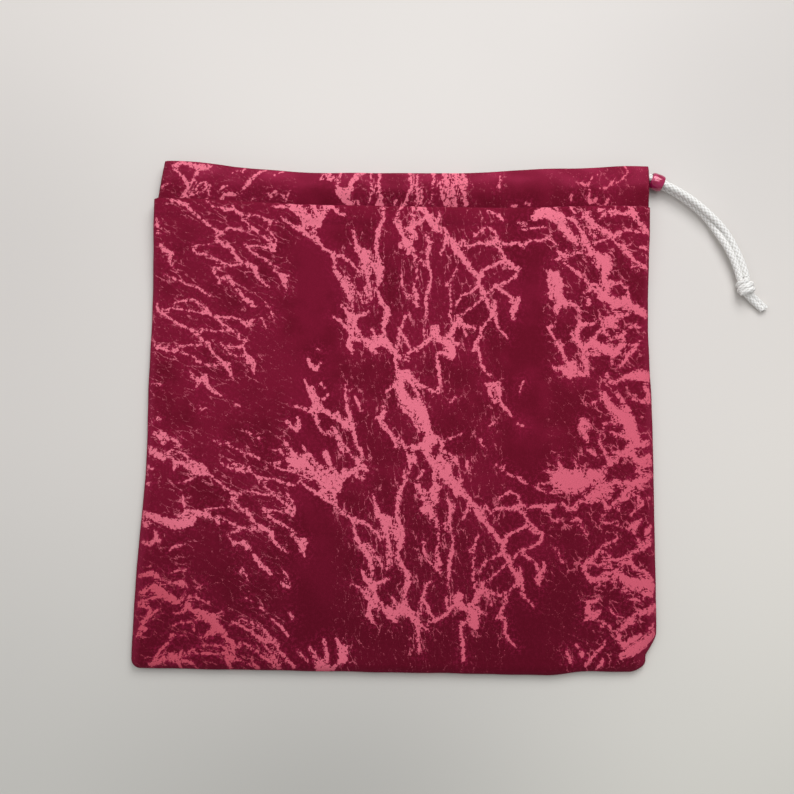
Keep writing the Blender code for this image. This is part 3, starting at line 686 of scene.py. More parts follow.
leftVeins = [
    (308, 357, 0.7, 310, 364, 1.2, 316, 369, 1.8, 320, 363, 0.8), (317, 349, 0.6, 322, 352, 0.4),
    (287, 418, 0.7, 290, 426, 0.8, 297, 430, 2, 301, 425, 0.8), (170, 437, 0.7, 175, 441, 1.5, 181,
    446, 0.5), (153, 432, 1.4, 160, 437, 2.2, 164, 444, 1), (217, 441, 0.5, 223, 443, 1, 229, 445,
    0.5), (265, 302, 0.4, 271, 310, 0.8, 274, 320, 0.5), (262, 318, 0.4, 266, 328, 0.5), (223, 466,
    0.6, 238, 464, 0.9, 250, 468, 0.6), (165, 275, 0.5, 173, 278, 0.6, 181, 281, 0.6, 186, 285,
    0.6, 196, 287, 0.7, 203, 291, 0.8, 210, 296, 0.6), (157, 303, 0.8, 158, 311, 1.5, 166, 316,
    1.5, 172, 320, 1.2, 180, 325, 1, 189, 329, 1, 195, 332, 1.3, 201, 332, 1), (158, 311, 1, 166,
    310, 0.5, 172, 308, 0.4), (176, 302, 0.7, 184, 301, 0.6, 192, 299, 0.7, 199, 303, 0.7, 205,
    307, 0.8, 208, 311, 1.5), (176, 308, 0.6, 184, 309, 0.7, 192, 311, 0.7, 200, 313, 1, 207, 312,
    2, 213, 314, 1, 217, 316, 0.8), (217, 317, 0.9, 226, 317, 0.8, 235, 318, 0.8, 242, 321, 1, 247,
    325, 1.8, 252, 320, 1, 255, 319, 0.6), (208, 313, 0.6, 218, 320, 0.7, 226, 326, 0.7, 236, 334,
    0.7, 242, 340, 1, 247, 341, 0.8), (199, 329, 0.6, 207, 330, 0.5, 215, 331, 0.6, 226, 330, 0.7,
    233, 331, 0.8, 239, 334, 0.7), (194, 333, 1, 200, 338, 1, 206, 342, 1.5, 209, 345, 1.5, 211,
    350, 1, 218, 358, 1, 223, 363, 1.5), (222, 362, 1.2, 227, 365, 3, 229, 370, 2.2, 232, 378,
    0.5), (221, 344, 0.8, 227, 350, 1, 233, 354, 0.9, 238, 357, 0.8), (222, 346, 0.8, 230, 346,
    0.7, 238, 347, 0.8, 243, 347, 1.2), (243, 346, 1, 245, 354, 1.2, 250, 360, 3.2, 253, 363, 2.5,
    253, 369, 1.2, 254, 374, 0.4), (155, 346, 1, 162, 349, 1.3, 170, 351, 1, 176, 353, 0.7), (155,
    345, 0.6, 170, 346, 0.4, 190, 345, 0.4, 203, 345, 0.5), (175, 348, 0.5, 184, 353, 0.5, 192,
    356, 0.6, 197, 358, 0.5), (196, 360, 1, 202, 363, 1.3, 210, 366, 0.8, 216, 365, 0.6, 222, 365,
    0.6), (190, 370, 0.6, 193, 378, 1, 200, 380, 2.5), (157, 218, 1.2, 158, 226, 1.6), (160, 244,
    0.8, 164, 250, 2.2, 171, 253, 2.6, 169, 260, 1.2, 173, 268, 0.3), (157, 233, 0.6, 163, 234,
    0.4), (205, 375, 1.5, 204, 380, 2.5, 210, 388, 1.5, 216, 393, 1.2, 222, 395, 0.8), (236, 404,
    1, 240, 406, 0.7), (196, 388, 0.8, 197, 384, 0.6), (200, 406, 0.4, 201, 410, 0.4, 206, 408,
    0.3), (151, 384, 0.6, 156, 383, 0.4, 161, 384, 0.3), (153, 422, 0.4, 158, 418, 0.6, 161, 419,
    0.4), (148, 446, 1.5, 151, 450, 3, 157, 455, 3, 164, 459, 2, 170, 457, 1, 176, 462, 2, 184,
    464, 1.5, 190, 468, 2.5, 197, 472, 3.5, 204, 474, 2), (160, 432, 1, 164, 435, 2, 168, 440,
    1.2), (180, 437, 0.8, 178, 441, 0.6), (165, 453, 1, 172, 450, 0.8, 180, 452, 0.8, 190, 458,
    0.8), (176, 462, 1.5, 174, 470, 0.6), (206, 468, 1, 204, 472, 1.2), (143, 514, 2, 150, 516, 3,
    160, 520, 3, 170, 523, 4, 180, 524, 5, 190, 522, 4, 195, 516, 2), (182, 515, 1, 190, 512, 2.2,
    198, 512, 2, 206, 515, 2, 214, 518, 1, 219, 524, 0.8), (185, 514, 1, 184, 505, 0.9, 183, 498,
    0.8, 182, 493, 0.5), (143, 522, 1.5, 147, 526, 1.5), (155, 532, 1.5, 158, 540, 2.5, 150, 544,
    2, 143, 543, 1.5), (170, 549, 0.8, 177, 546, 1.2, 185, 544, 0.5), (146, 483, 1, 151, 484, 1.2),
    (148, 467, 1, 152, 469, 1), (178, 483, 0.6, 186, 481, 0.6, 193, 478, 0.7), (139, 576, 1.5, 146,
    574, 2, 155, 574, 2.3, 160, 580, 1, 167, 582, 1, 174, 583, 1.2, 181, 584, 3, 186, 586, 1.5),
    (171, 573, 0.8, 178, 571, 0.8, 185, 569, 0.6), (141, 592, 1.5, 148, 589, 2.5, 155, 588, 3.2,
    162, 593, 4, 170, 598, 3.5, 178, 602, 2), (137, 603, 1.2, 145, 600, 1, 153, 598, 1, 160, 595,
    1.5), (178, 600, 1, 184, 595, 0.8), (183, 600, 0.7, 190, 597, 1, 195, 597, 1, 202, 600, 0.7,
    208, 602, 1), (185, 609, 2.5, 189, 605, 2.5), (175, 614, 0.8, 180, 613, 0.7), (190, 610, 1,
    200, 612, 3, 206, 616, 4, 212, 620, 4, 217, 627, 4, 222, 632, 3, 227, 638, 1.8, 232, 644, 2.2,
    239, 647, 1), (212, 617, 2, 219, 613, 1, 222, 612, 0.5), (174, 625, 0.5, 183, 622, 0.6, 193,
    622, 0.7, 198, 619, 1.5), (193, 622, 0.8, 194, 630, 0.8), (138, 607, 1.5, 145, 605, 1, 150,
    610, 1, 149, 615, 2, 155, 612, 1.5, 158, 610, 1), (150, 615, 1.5, 144, 621, 2.2, 142, 627, 2,
    145, 629, 1.5), (135, 637, 1, 141, 632, 1.2), (200, 637, 1, 205, 637, 1.5, 210, 631, 1.8, 213,
    635, 1), (185, 635, 0.5, 178, 636, 0.5, 171, 635, 0.9, 170, 640, 0.9, 164, 648, 1, 158, 653,
    1.2, 155, 660, 1.2, 150, 664, 1.5), (152, 664, 2.5, 160, 661, 2.5, 168, 658, 2.5, 173, 656, 3,
    180, 657, 1.2), (173, 658, 3, 178, 663, 2, 180, 667, 1), (176, 655, 1.5, 186, 652, 0.7, 196,
    648, 0.6, 203, 645, 0.6, 212, 645, 0.6, 220, 646, 0.8), (182, 660, 0.8, 190, 663, 1, 196, 667,
    1), (185, 655, 0.4, 195, 654, 0.4, 205, 653, 0.8, 215, 654, 0.4, 225, 654, 0.4), (222, 646, 1,
    226, 650, 1.5, 228, 657, 2.5, 229, 664, 1.8, 230, 669, 1), (228, 658, 2.5, 233, 657, 2.5, 237,
    660, 0.8, 243, 662, 0.5), (232, 644, 2, 233, 650, 1.5, 233, 656, 2), (240, 643, 0.5, 246, 644,
    0.9, 252, 648, 0.9, 257, 651, 1, 262, 656, 1, 268, 660, 1.2, 273, 664, 1.3, 278, 668, 1.5),
    (234, 623, 1.5, 239, 625, 1, 245, 628, 0.9, 251, 631, 1, 257, 636, 1.5, 262, 640, 1.8, 269,
    641, 1.8, 277, 640, 1), (241, 619, 0.5, 248, 621, 0.6, 256, 624, 0.7, 262, 628, 0.8, 266, 633,
    0.8, 270, 637, 1.2, 273, 643, 1.5, 278, 647, 1.2), (263, 643, 0.8, 268, 649, 1, 272, 655, 1.3,
    276, 662, 1.5, 279, 668, 1.5), (278, 649, 1, 283, 655, 1.4, 288, 661, 1.2, 294, 667, 1.2),
    (248, 664, 1, 254, 664, 1.5, 258, 668, 1), (271, 619, 0.6, 277, 623, 0.8, 282, 628, 1, 286,
    633, 1, 288, 637, 0.4), (245, 598, 0.5, 252, 601, 0.8), (260, 607, 1, 263, 610, 1.2), (298,
    650, 0.6, 301, 655, 1, 307, 661, 0.8), (310, 648, 1, 314, 653, 1.2, 318, 660, 1), (322, 664,
    2.5, 318, 668, 2), (282, 583, 1, 285, 586, 1.5, 289, 587, 1), (283, 570, 0.5, 286, 575, 0.6,
    290, 581, 0.3), (240, 572, 1, 242, 568, 1.2, 246, 574, 0.7, 248, 581, 0.4), (197, 588, 0.9,
    202, 585, 1),
]
rightVeins = [
    (533, 218, 2, 540, 214, 4.5, 548, 212, 4.5, 553, 220, 3), (518, 223, 0.8, 526, 224, 0.6), (522,
    229, 0.6, 534, 228, 0.7, 545, 227, 0.6), (530, 241, 0.8, 540, 240, 0.8, 548, 238, 0.8, 553,
    242, 0.8, 558, 245, 0.8), (553, 213, 3, 559, 219, 3.5, 563, 227, 3.5, 567, 233, 4, 573, 239, 3,
    577, 244, 2), (556, 208, 0.7, 562, 214, 0.8, 566, 219, 1), (570, 207, 0.6, 574, 213, 0.8),
    (568, 218, 1.5, 574, 221, 2, 578, 225, 2), (583, 215, 1.2, 588, 219, 2.5, 595, 225, 2.5, 602,
    230, 2, 608, 232, 2, 613, 236, 2.2, 620, 235, 1), (582, 217, 0.8, 586, 213, 0.7, 591, 212,
    0.6), (598, 210, 1.2, 606, 212, 1.2, 614, 211, 1.3, 622, 214, 1.3, 629, 215, 1.5, 636, 219,
    1.5, 641, 224, 2, 646, 229, 1.5), (630, 207, 2, 631, 213, 3, 636, 214, 2), (601, 217, 0.8, 607,
    215, 0.6), (611, 216, 0.9, 618, 214, 0.8), (619, 231, 0.7, 625, 230, 0.8, 633, 231, 0.9, 640,
    232, 0.9, 647, 232, 1.2), (580, 228, 1, 583, 235, 2.5, 586, 242, 3, 590, 248, 2.5, 594, 253,
    2.5), (590, 225, 1, 590, 232, 0.8, 595, 236, 0.7), (596, 242, 0.8, 603, 240, 0.8, 610, 238,
    0.7, 614, 235, 1), (614, 240, 0.8, 619, 245, 1.5, 625, 249, 3, 629, 253, 2, 633, 259, 1.2, 638,
    264, 1.5, 643, 266, 2.2, 647, 268, 1.5), (631, 267, 0.7, 638, 266, 1), (641, 247, 1.5, 646,
    249, 1.5), (557, 251, 0.8, 561, 254, 1.5, 566, 256, 2.2, 572, 255, 0.8), (550, 260, 0.8, 557,
    259, 0.7, 563, 258, 0.9), (567, 251, 0.7, 574, 253, 0.9, 580, 252, 0.9, 586, 254, 1, 592, 253,
    2), (594, 252, 2, 599, 257, 4, 605, 260, 6, 606, 268, 5, 604, 276, 3, 606, 283, 3, 608, 290,
    2.5), (593, 262, 0.8, 597, 268, 1), (606, 283, 2.5, 614, 283, 1.8, 621, 283, 1.5, 626, 287,
    1.2, 628, 293, 1), (606, 291, 2.5, 602, 296, 4, 610, 300, 4, 614, 306, 3), (604, 296, 3, 596,
    290, 2, 590, 286, 1.5, 584, 278, 1, 577, 272, 1.8, 570, 267, 1, 563, 262, 0.8), (583, 293, 0.8,
    590, 291, 0.7), (590, 285, 1.5, 597, 284, 1, 601, 290, 1.5), (551, 273, 3, 556, 277, 4.5, 558,
    285, 5, 557, 293, 5, 561, 300, 4, 565, 303, 3), (549, 280, 2, 551, 290, 1.5, 550, 298, 1.5),
    (560, 304, 3.5, 556, 309, 2.5, 557, 314, 1.2), (565, 303, 2, 571, 303, 1.8, 576, 306, 1.5, 580,
    312, 0.8), (579, 319, 1.2, 580, 325, 3, 578, 330, 2.5, 573, 334, 2, 577, 339, 2.5, 581, 345,
    3.2, 585, 349, 2), (582, 324, 3, 589, 324, 1.5, 594, 324, 1), (586, 346, 2.5, 593, 344, 4, 601,
    347, 4.5, 609, 351, 4.5, 615, 352, 4, 620, 348, 3, 625, 343, 2), (593, 340, 3, 596, 335, 1.5,
    601, 330, 1.3, 606, 327, 1.5, 613, 325, 2, 618, 327, 1.5), (600, 319, 1, 604, 322, 2.5, 610,
    320, 3.5, 617, 317, 3, 623, 315, 2, 630, 313, 1), (612, 297, 2, 620, 304, 3.5, 628, 303, 4,
    634, 308, 3.5, 641, 311, 4, 646, 314, 3.5), (620, 303, 3, 625, 299, 3.5, 628, 297, 2), (589,
    303, 2.5, 588, 300, 1.5), (630, 327, 1.2, 635, 326, 2, 640, 327, 1), (617, 337, 2, 622, 337,
    2.5, 624, 333, 1.5), (605, 333, 1.2, 609, 336, 1, 611, 341, 1), (633, 346, 1.5, 638, 344, 1.2,
    640, 341, 0.8), (636, 349, 1, 631, 352, 2, 627, 357, 2, 624, 362, 1.5, 620, 367, 2), (613, 360,
    1, 612, 364, 0.8), (549, 327, 1.5, 552, 326, 1, 549, 330, 1, 553, 336, 0.9, 558, 343, 1.2, 562,
    350, 2, 564, 357, 1.5, 567, 362, 1.5), (560, 341, 1, 563, 346, 1), (567, 362, 2, 572, 368, 5,
    570, 374, 4, 574, 375, 2, 580, 376, 1.5), (562, 368, 2, 566, 373, 3), (574, 364, 3, 578, 370,
    2, 583, 375, 1.5, 588, 374, 2), (588, 373, 2, 586, 365, 2, 585, 358, 2.2, 583, 352, 1, 590,
    354, 1.5, 597, 355, 1.5), (553, 366, 1, 556, 369, 1.8, 557, 372, 0.8), (609, 381, 1, 612, 383,
    1.8, 619, 381, 1.5, 626, 377, 2, 632, 376, 3.5, 640, 375, 5, 648, 376, 5), (608, 372, 0.6, 605,
    376, 0.9, 609, 379, 0.8), (646, 388, 2.5, 649, 394, 2.5, 648, 402, 2.5, 642, 402, 1.5), (633,
    399, 1, 637, 400, 1), (600, 392, 0.6, 603, 396, 1.8, 607, 401, 2.5, 611, 407, 3, 617, 413, 5,
    625, 416, 6, 629, 423, 6, 631, 430, 6, 634, 438, 5, 637, 443, 3.5, 643, 444, 3, 648, 443, 2.5),
    (605, 392, 0.8, 609, 398, 1), (617, 395, 1.2, 622, 400, 1.2, 626, 406, 1.5, 628, 412, 3), (592,
    404, 0.8, 597, 401, 0.9), (583, 423, 2, 588, 420, 1.2), (583, 420, 2, 581, 427, 2.5, 584, 434,
    2.5, 587, 441, 1.5), (588, 424, 1.5, 590, 429, 1), (604, 424, 1, 610, 422, 1, 616, 425, 1),
    (588, 450, 1, 592, 453, 1.8, 597, 457, 0.7), (603, 430, 0.6, 599, 437, 1, 600, 445, 1.2, 604,
    450, 1, 606, 457, 0.9, 610, 463, 3, 614, 461, 2.5, 607, 466, 1), (612, 432, 1.5, 615, 435,
    1.5), (620, 435, 1.5, 627, 437, 2), (634, 445, 4, 628, 450, 3, 622, 454, 3, 616, 452, 1.5, 610,
    453, 0.8), (626, 452, 3, 634, 457, 3.5, 641, 463, 3.5, 648, 463, 4), (648, 456, 3, 645, 462,
    3), (637, 470, 1.5, 641, 474, 1.5, 646, 475, 1.5, 650, 476, 2), (626, 482, 2.5, 634, 484, 4,
    641, 481, 4, 646, 480, 2.5), (640, 487, 2, 644, 489, 1), (544, 471, 1, 550, 472, 1.5, 555, 474,
    2), (557, 458, 0.8, 559, 463, 1.5, 562, 468, 2, 565, 474, 4), (574, 460, 0.7, 577, 466, 0.9,
    580, 472, 3), (553, 480, 3, 560, 478, 7, 568, 479, 7.5, 577, 480, 7.5, 585, 482, 5, 591, 478,
    3), (557, 486, 2, 565, 488, 3, 574, 490, 2.5, 582, 489, 2), (590, 472, 3, 596, 474, 4, 600,
    478, 3, 606, 473, 1, 603, 469, 1.2), (594, 484, 1.5, 602, 485, 2.5, 609, 485, 3, 614, 482, 2,
    618, 482, 2.5, 622, 485, 1.5), (586, 497, 2, 592, 496, 3.5, 598, 493, 4, 604, 490, 2.5, 612,
    490, 2), (592, 500, 2, 597, 499, 3), (604, 495, 1.5, 609, 498, 1.5), (630, 490, 2, 624, 492,
    2.5, 625, 497, 3.5, 620, 499, 2), (633, 494, 1, 638, 497, 1.5, 638, 502, 1.2), (536, 487, 1.5,
    541, 490, 0.8, 548, 492, 0.8, 556, 493, 0.9, 563, 491, 1, 572, 493, 1, 580, 492, 1), (539, 483,
    0.8, 544, 484, 1), (530, 508, 1.5, 538, 505, 1.2, 545, 508, 2.5, 550, 508, 2.5, 556, 504, 1.2),
    (563, 503, 1, 568, 509, 2, 575, 508, 2, 577, 503, 1), (580, 502, 1.2, 585, 502, 1.2, 591, 503,
    1), (604, 499, 1, 605, 505, 1.2, 609, 508, 1.5, 614, 503, 1.2, 618, 500, 1), (617, 505, 0.8,
    619, 510, 1.2), (602, 517, 1, 606, 513, 0.8), (600, 521, 0.5, 608, 523, 0.9, 613, 523, 0.8,
    618, 526, 0.7), (631, 515, 0.9, 636, 509, 1.2, 641, 505, 1.5, 643, 500, 0.9, 646, 498, 1, 650,
    498, 1), (628, 529, 1.2, 633, 526, 3, 637, 523, 2.5, 641, 520, 1), (633, 530, 1, 636, 537, 0.9,
    638, 541, 1.2), (650, 527, 2, 648, 532, 2.5), (640, 543, 1, 646, 541, 1.5, 651, 540, 1.5),
    (551, 521, 1, 556, 521, 1, 559, 519, 1), (571, 521, 0.8, 577, 519, 1.5, 581, 520, 1), (579,
    524, 0.6, 584, 530, 0.8, 587, 534, 0.6), (650, 545, 1.5, 640, 549, 2, 630, 555, 1.8, 620, 559,
    1.5, 610, 560, 1.2, 604, 560, 1), (617, 538, 0.8, 612, 542, 0.9, 604, 545, 1, 598, 551, 1.2,
    594, 557, 1.5, 588, 562, 2.5, 584, 567, 2.5, 586, 574, 2, 591, 580, 2.5, 597, 579, 2, 604, 574,
    2, 612, 573, 2.5, 620, 576, 3, 628, 582, 4.5, 636, 584, 5, 646, 583, 5, 651, 586, 5), (588,
    562, 2, 596, 565, 1, 604, 564, 0.9, 610, 566, 0.7), (597, 552, 0.8, 604, 552, 1.2, 610, 556,
    1), (617, 570, 1, 623, 564, 1, 630, 560, 1), (631, 563, 1.8, 634, 568, 2, 642, 571, 1.5, 648,
    574, 1.5, 652, 580, 2), (599, 585, 1, 601, 580, 1.2, 608, 579, 1, 614, 583, 1), (622, 592, 1,
    630, 590, 1.2, 637, 587, 2), (640, 590, 1.5, 645, 595, 2, 650, 595, 3), (628, 600, 1, 636, 599,
    1.2, 642, 602, 0.8), (585, 602, 0.8, 591, 602, 1.5, 597, 600, 1.5), (588, 607, 2, 589, 613, 3,
    595, 616, 3, 600, 611, 1.2), (585, 620, 0.8, 592, 618, 2), (600, 625, 1.2, 605, 624, 1.8, 610,
    627, 1), (610, 609, 1, 614, 614, 1.2, 622, 618, 0.8), (656, 607, 3, 649, 611, 3, 642, 613, 2.5,
    634, 615, 1, 628, 619, 0.8), (632, 621, 2.5, 626, 625, 2, 621, 629, 1.2), (617, 633, 1.5, 619,
    638, 2), (620, 642, 1.2, 627, 645, 2.5, 634, 640, 3, 640, 636, 2), (655, 634, 3, 650, 640, 4,
    643, 647, 5, 635, 652, 5, 628, 655, 3), (655, 625, 1.5, 650, 629, 1), (606, 640, 0.8, 604, 647,
    1.2, 599, 653, 1.6, 594, 659, 1.6, 589, 665, 1.6), (607, 660, 1.5, 608, 665, 2.2, 604, 668, 2),
    (567, 651, 0.8, 568, 656, 1.2, 572, 661, 1.8), (576, 645, 0.8, 580, 649, 1, 583, 655, 2.2),
    (556, 548, 0.5, 560, 557, 0.5, 563, 563, 1),
]
casingVeins = [
    (174, 167, 1.5, 180, 164, 2.5, 186, 163, 1.5, 193, 166, 2, 198, 168, 3.5, 205, 168, 3, 211,
    167, 1.5), (176, 170, 1.2, 182, 176, 1.2, 186, 182, 2, 189, 190, 1.2), (196, 173, 0.8, 194,
    180, 1, 188, 188, 1.2, 184, 196, 1, 179, 200, 0.8), (198, 172, 0.8, 192, 181, 0.7, 186, 190,
    0.6, 180, 198, 0.5), (184, 196, 1, 190, 195, 1, 197, 193, 0.7, 204, 190, 0.7), (196, 188, 0.6,
    199, 183, 0.7, 206, 182, 0.9, 211, 186, 0.6), (186, 196, 0.8, 194, 200, 0.5, 203, 202, 0.6,
    209, 203, 0.7), (205, 186, 0.6, 209, 191, 0.7, 209, 196, 0.7, 205, 200, 0.6), (163, 186, 0.7,
    167, 183, 0.7), (233, 173, 0.6, 238, 171, 0.5), (243, 172, 0.7, 245, 169, 0.7), (220, 190, 0.7,
    224, 186, 0.8, 228, 185, 0.7), (220, 200, 1, 225, 195, 2, 231, 193, 2.2, 235, 194, 1), (241,
    192, 0.7, 245, 187, 1, 250, 181, 2, 256, 176, 1.5, 262, 172, 1.2, 266, 171, 0.8), (244, 204,
    0.7, 250, 200, 0.7, 256, 197, 0.7), (268, 193, 0.6, 270, 198, 0.7, 272, 193, 0.6, 276, 191,
    0.6), (274, 195, 0.5, 279, 193, 0.6, 283, 196, 0.5), (285, 203, 0.5, 287, 196, 0.6, 290, 191,
    0.5), (275, 176, 0.7, 280, 174, 0.7, 285, 172, 0.8), (323, 174, 0.8, 321, 180, 0.5), (329, 173,
    1.2, 330, 180, 2, 334, 178, 0.8), (341, 172, 0.8, 338, 182, 1, 337, 190, 1), (339, 190, 3, 344,
    197, 3.5, 349, 203, 3), (365, 173, 1.5, 358, 176, 2.5, 352, 183, 1.8, 350, 190, 2.5, 346, 198,
    2.5), (358, 200, 0.8, 358, 203, 1.2), (371, 174, 0.8, 371, 182, 0.6, 372, 190, 0.9, 370, 197,
    0.5, 368, 204, 0.5), (380, 174, 1, 379, 183, 0.8, 379, 190, 1.2, 381, 198, 1.8, 379, 204, 2.5,
    384, 205, 0.8), (410, 173, 1.5, 410, 182, 1.2, 412, 187, 1.3, 408, 194, 1.2, 405, 201, 1.5,
    403, 206, 1.5), (418, 172, 0.8, 417, 185, 0.8, 417, 196, 0.8, 417, 206, 1), (421, 188, 0.8,
    422, 196, 1, 421, 203, 0.8), (396, 200, 0.6, 393, 206, 0.6), (433, 173, 1.2, 434, 180, 1, 432,
    188, 0.6), (432, 195, 0.6, 430, 202, 0.6), (440, 183, 1, 441, 190, 1.2, 442, 198, 1, 445, 204,
    0.8), (445, 174, 2.2, 447, 182, 1.8, 448, 190, 1.3, 448, 199, 1.3, 449, 206, 1.5), (454, 174,
    2.5, 456, 182, 1.5, 452, 189, 1.2, 454, 197, 1.8, 455, 205, 2), (459, 180, 1.5, 461, 187, 2,
    464, 195, 1.3, 466, 203, 1.8), (463, 174, 1.5, 465, 182, 1.5, 466, 189, 1), (500, 175, 0.5,
    500, 183, 0.7, 498, 190, 0.4), (512, 205, 0.8, 516, 206, 1.2), (526, 203, 1, 529, 204, 1),
    (577, 183, 0.8, 582, 183, 1.5, 588, 187, 1), (589, 183, 0.7, 592, 178, 0.5, 597, 175, 0.4),
    (572, 193, 0.4, 571, 200, 0.6), (590, 192, 1, 588, 197, 1.5, 590, 202, 2, 595, 201, 1.5, 597,
    198, 1), (600, 188, 0.6, 606, 188, 1.2, 611, 185, 0.8, 614, 180, 0.7, 616, 183, 0.5), (625,
    167, 0.8, 628, 172, 0.6, 624, 177, 0.6, 619, 182, 0.8), (600, 206, 0.7, 606, 203, 0.7, 609,
    199, 0.6),
]
quietSpots = [  # x, y, half across, half up
    (303, 330, 38, 52), (515, 345, 36, 44), (318, 600, 32, 56), (565, 620, 26, 42),
    (245, 415, 46, 18), (455, 412, 24, 18), (553, 410, 22, 30), (240, 560, 34, 26),
    (440, 300, 22, 18),
]
printDetail = {
    "frame": 794, "pixel": 0.567, "repeat": (14.4, -148.7), "reach": 12.0,
    "backShift": (22.0, -31.0), "bend": 1.5, "ragged": 3.6, "pitted": 1.0, "holes": 1.7,
    "netStrength": 7.0, "threadWarp": 1.5, "twillTurn": 38, "relief": 0.00022,
    "casingGuess": 0.010,
}


def sightLine(px, py, height):
    # Where the line of sight through a pixel comes down to a level
    half = printDetail["frame"] / 2
    far = half / math.tan(math.radians(cameraView["angle"] / 2))
    turn = Matrix.Rotation(math.radians(cameraView["tilt"]), 3, "X")
    roll = Matrix.Rotation(math.radians(cameraView["roll"]), 3, "Z")
    way = turn @ roll @ Vector(((px - half) / far, (half - py) / far, -1.0))
    start = Vector(cameraView["place"])
    hit = start + way * ((start.z - height) / -way.z)
    return hit.x, hit.y


def onBody(px, py):
    z = plateauZ
    for _ in range(4):
        x, y = sightLine(px, py, z)
        z = frontHeight(x, y) + cloth / 2
    return x * 1000, y * 1000


def onCasing(px, py):
    z = printDetail["casingGuess"]
    for _ in range(4):
        x, y = sightLine(px, py, z)
        c = (y - seamY(x, 1)) / (topY(x, 1) - seamY(x, 1))
        full = math.sin(math.pi * min(max(c, 0.1), 0.9)) ** 0.7
        z = frontChannelZ(x) + channelThickness(x, 1) / 2 * full
    return x * 1000, c * pouch["casingHeight"] * 1000


def laidOn(strokes, place, shift=(0.0, 0.0)):
    # The strokes in millimetres on the flat cloth
    size = 2 * cameraView["place"][2] * math.tan(math.radians(cameraView["angle"] / 2))
    scale = size / printDetail["frame"] * 1000
    laid = []
    for stroke in strokes:
        rows = []
        for px, py, wide in zip(stroke[::3], stroke[1::3], stroke[2::3]):
            x, y = place(px, py)
            rows.append((x + shift[0], y + shift[1], wide * scale))
        laid.append(rows)
    return laid


def veinReach(flat, strokes):
    # The way to the nearest stroke and its half width there, and how deep inside it each place
    # lies, negative outside, all in millimetres
    place = flat.reshape(-1, 2) * 1000
    far = printDetail["reach"]
    best = np.full(len(place), -far)
    way = np.zeros((len(place), 3))
    way[:, 0] = far
    for stroke in strokes:
        rows = np.array(stroke)
        low, high = rows[:, :2].min(axis=0) - far, rows[:, :2].max(axis=0) + far
        near = np.nonzero(((place > low) & (place < high)).all(axis=1))[0]
        here = place[near]
        for (ax, ay, aw), (bx, by, bw) in zip(stroke, stroke[1:] or stroke):
            along = np.array([bx - ax, by - ay])
            away = here - (ax, ay)
            t = np.clip(away @ along / max(float(along @ along), 1e-9), 0, 1)
            gap = away - t[:, None] * along
            wide = aw + (bw - aw) * t
            depth = wide - np.hypot(gap[:, 0], gap[:, 1])
            better = depth > best[near]
            best[near[better]] = depth[better]
            way[near[better]] = np.column_stack([gap, wide])[better]
    return best.reshape(flat.shape[:2] + (1,)), way.reshape(flat.shape[:2] + (3,))


def quietness(flat, spots):
    # 1 inside the dark fields, 0 away from them
    place = flat.reshape(-1, 2) * 1000
    best = np.zeros(len(place))
    for x, y, across, up in spots:
        r = np.hypot((place[:, 0] - x) / across, (place[:, 1] - y) / up)
        best = np.maximum(best, np.clip((1.35 - r) / 0.7, 0, 1))
    return best.reshape(flat.shape[:2] + (1,))


bodyStrokes = laidOn(repeatedVeins, onBody) + laidOn(repeatedVeins, onBody, printDetail["repeat"])
bodyStrokes += laidOn(middleVeins + leftVeins + rightVeins, onBody)
casingStrokes = laidOn(casingVeins, onCasing)
pixel = printDetail["pixel"]
quietFields = [onBody(x, y) + (across * pixel, up * pixel) for x, y, across, up in quietSpots]

printColours = {
    "ground": (0.200, 0.0065, 0.029, 1), "deep": (0.145, 0.0040, 0.018, 1),
    "lowest": (0.112, 0.0030, 0.0145, 1), "paintedLight": (0.34, 0.022, 0.068, 1),
    "halo": (0.36, 0.016, 0.068, 1), "vein": (0.87, 0.195, 0.285, 1),
    "dimVein": (0.72, 0.120, 0.190, 1), "shadedVein": (0.62, 0.090, 0.140, 1),
    "fuzzDark": (0.78, 0.78, 0.78, 1), "fuzzPale": (1.18, 1.18, 1.18, 1),
}


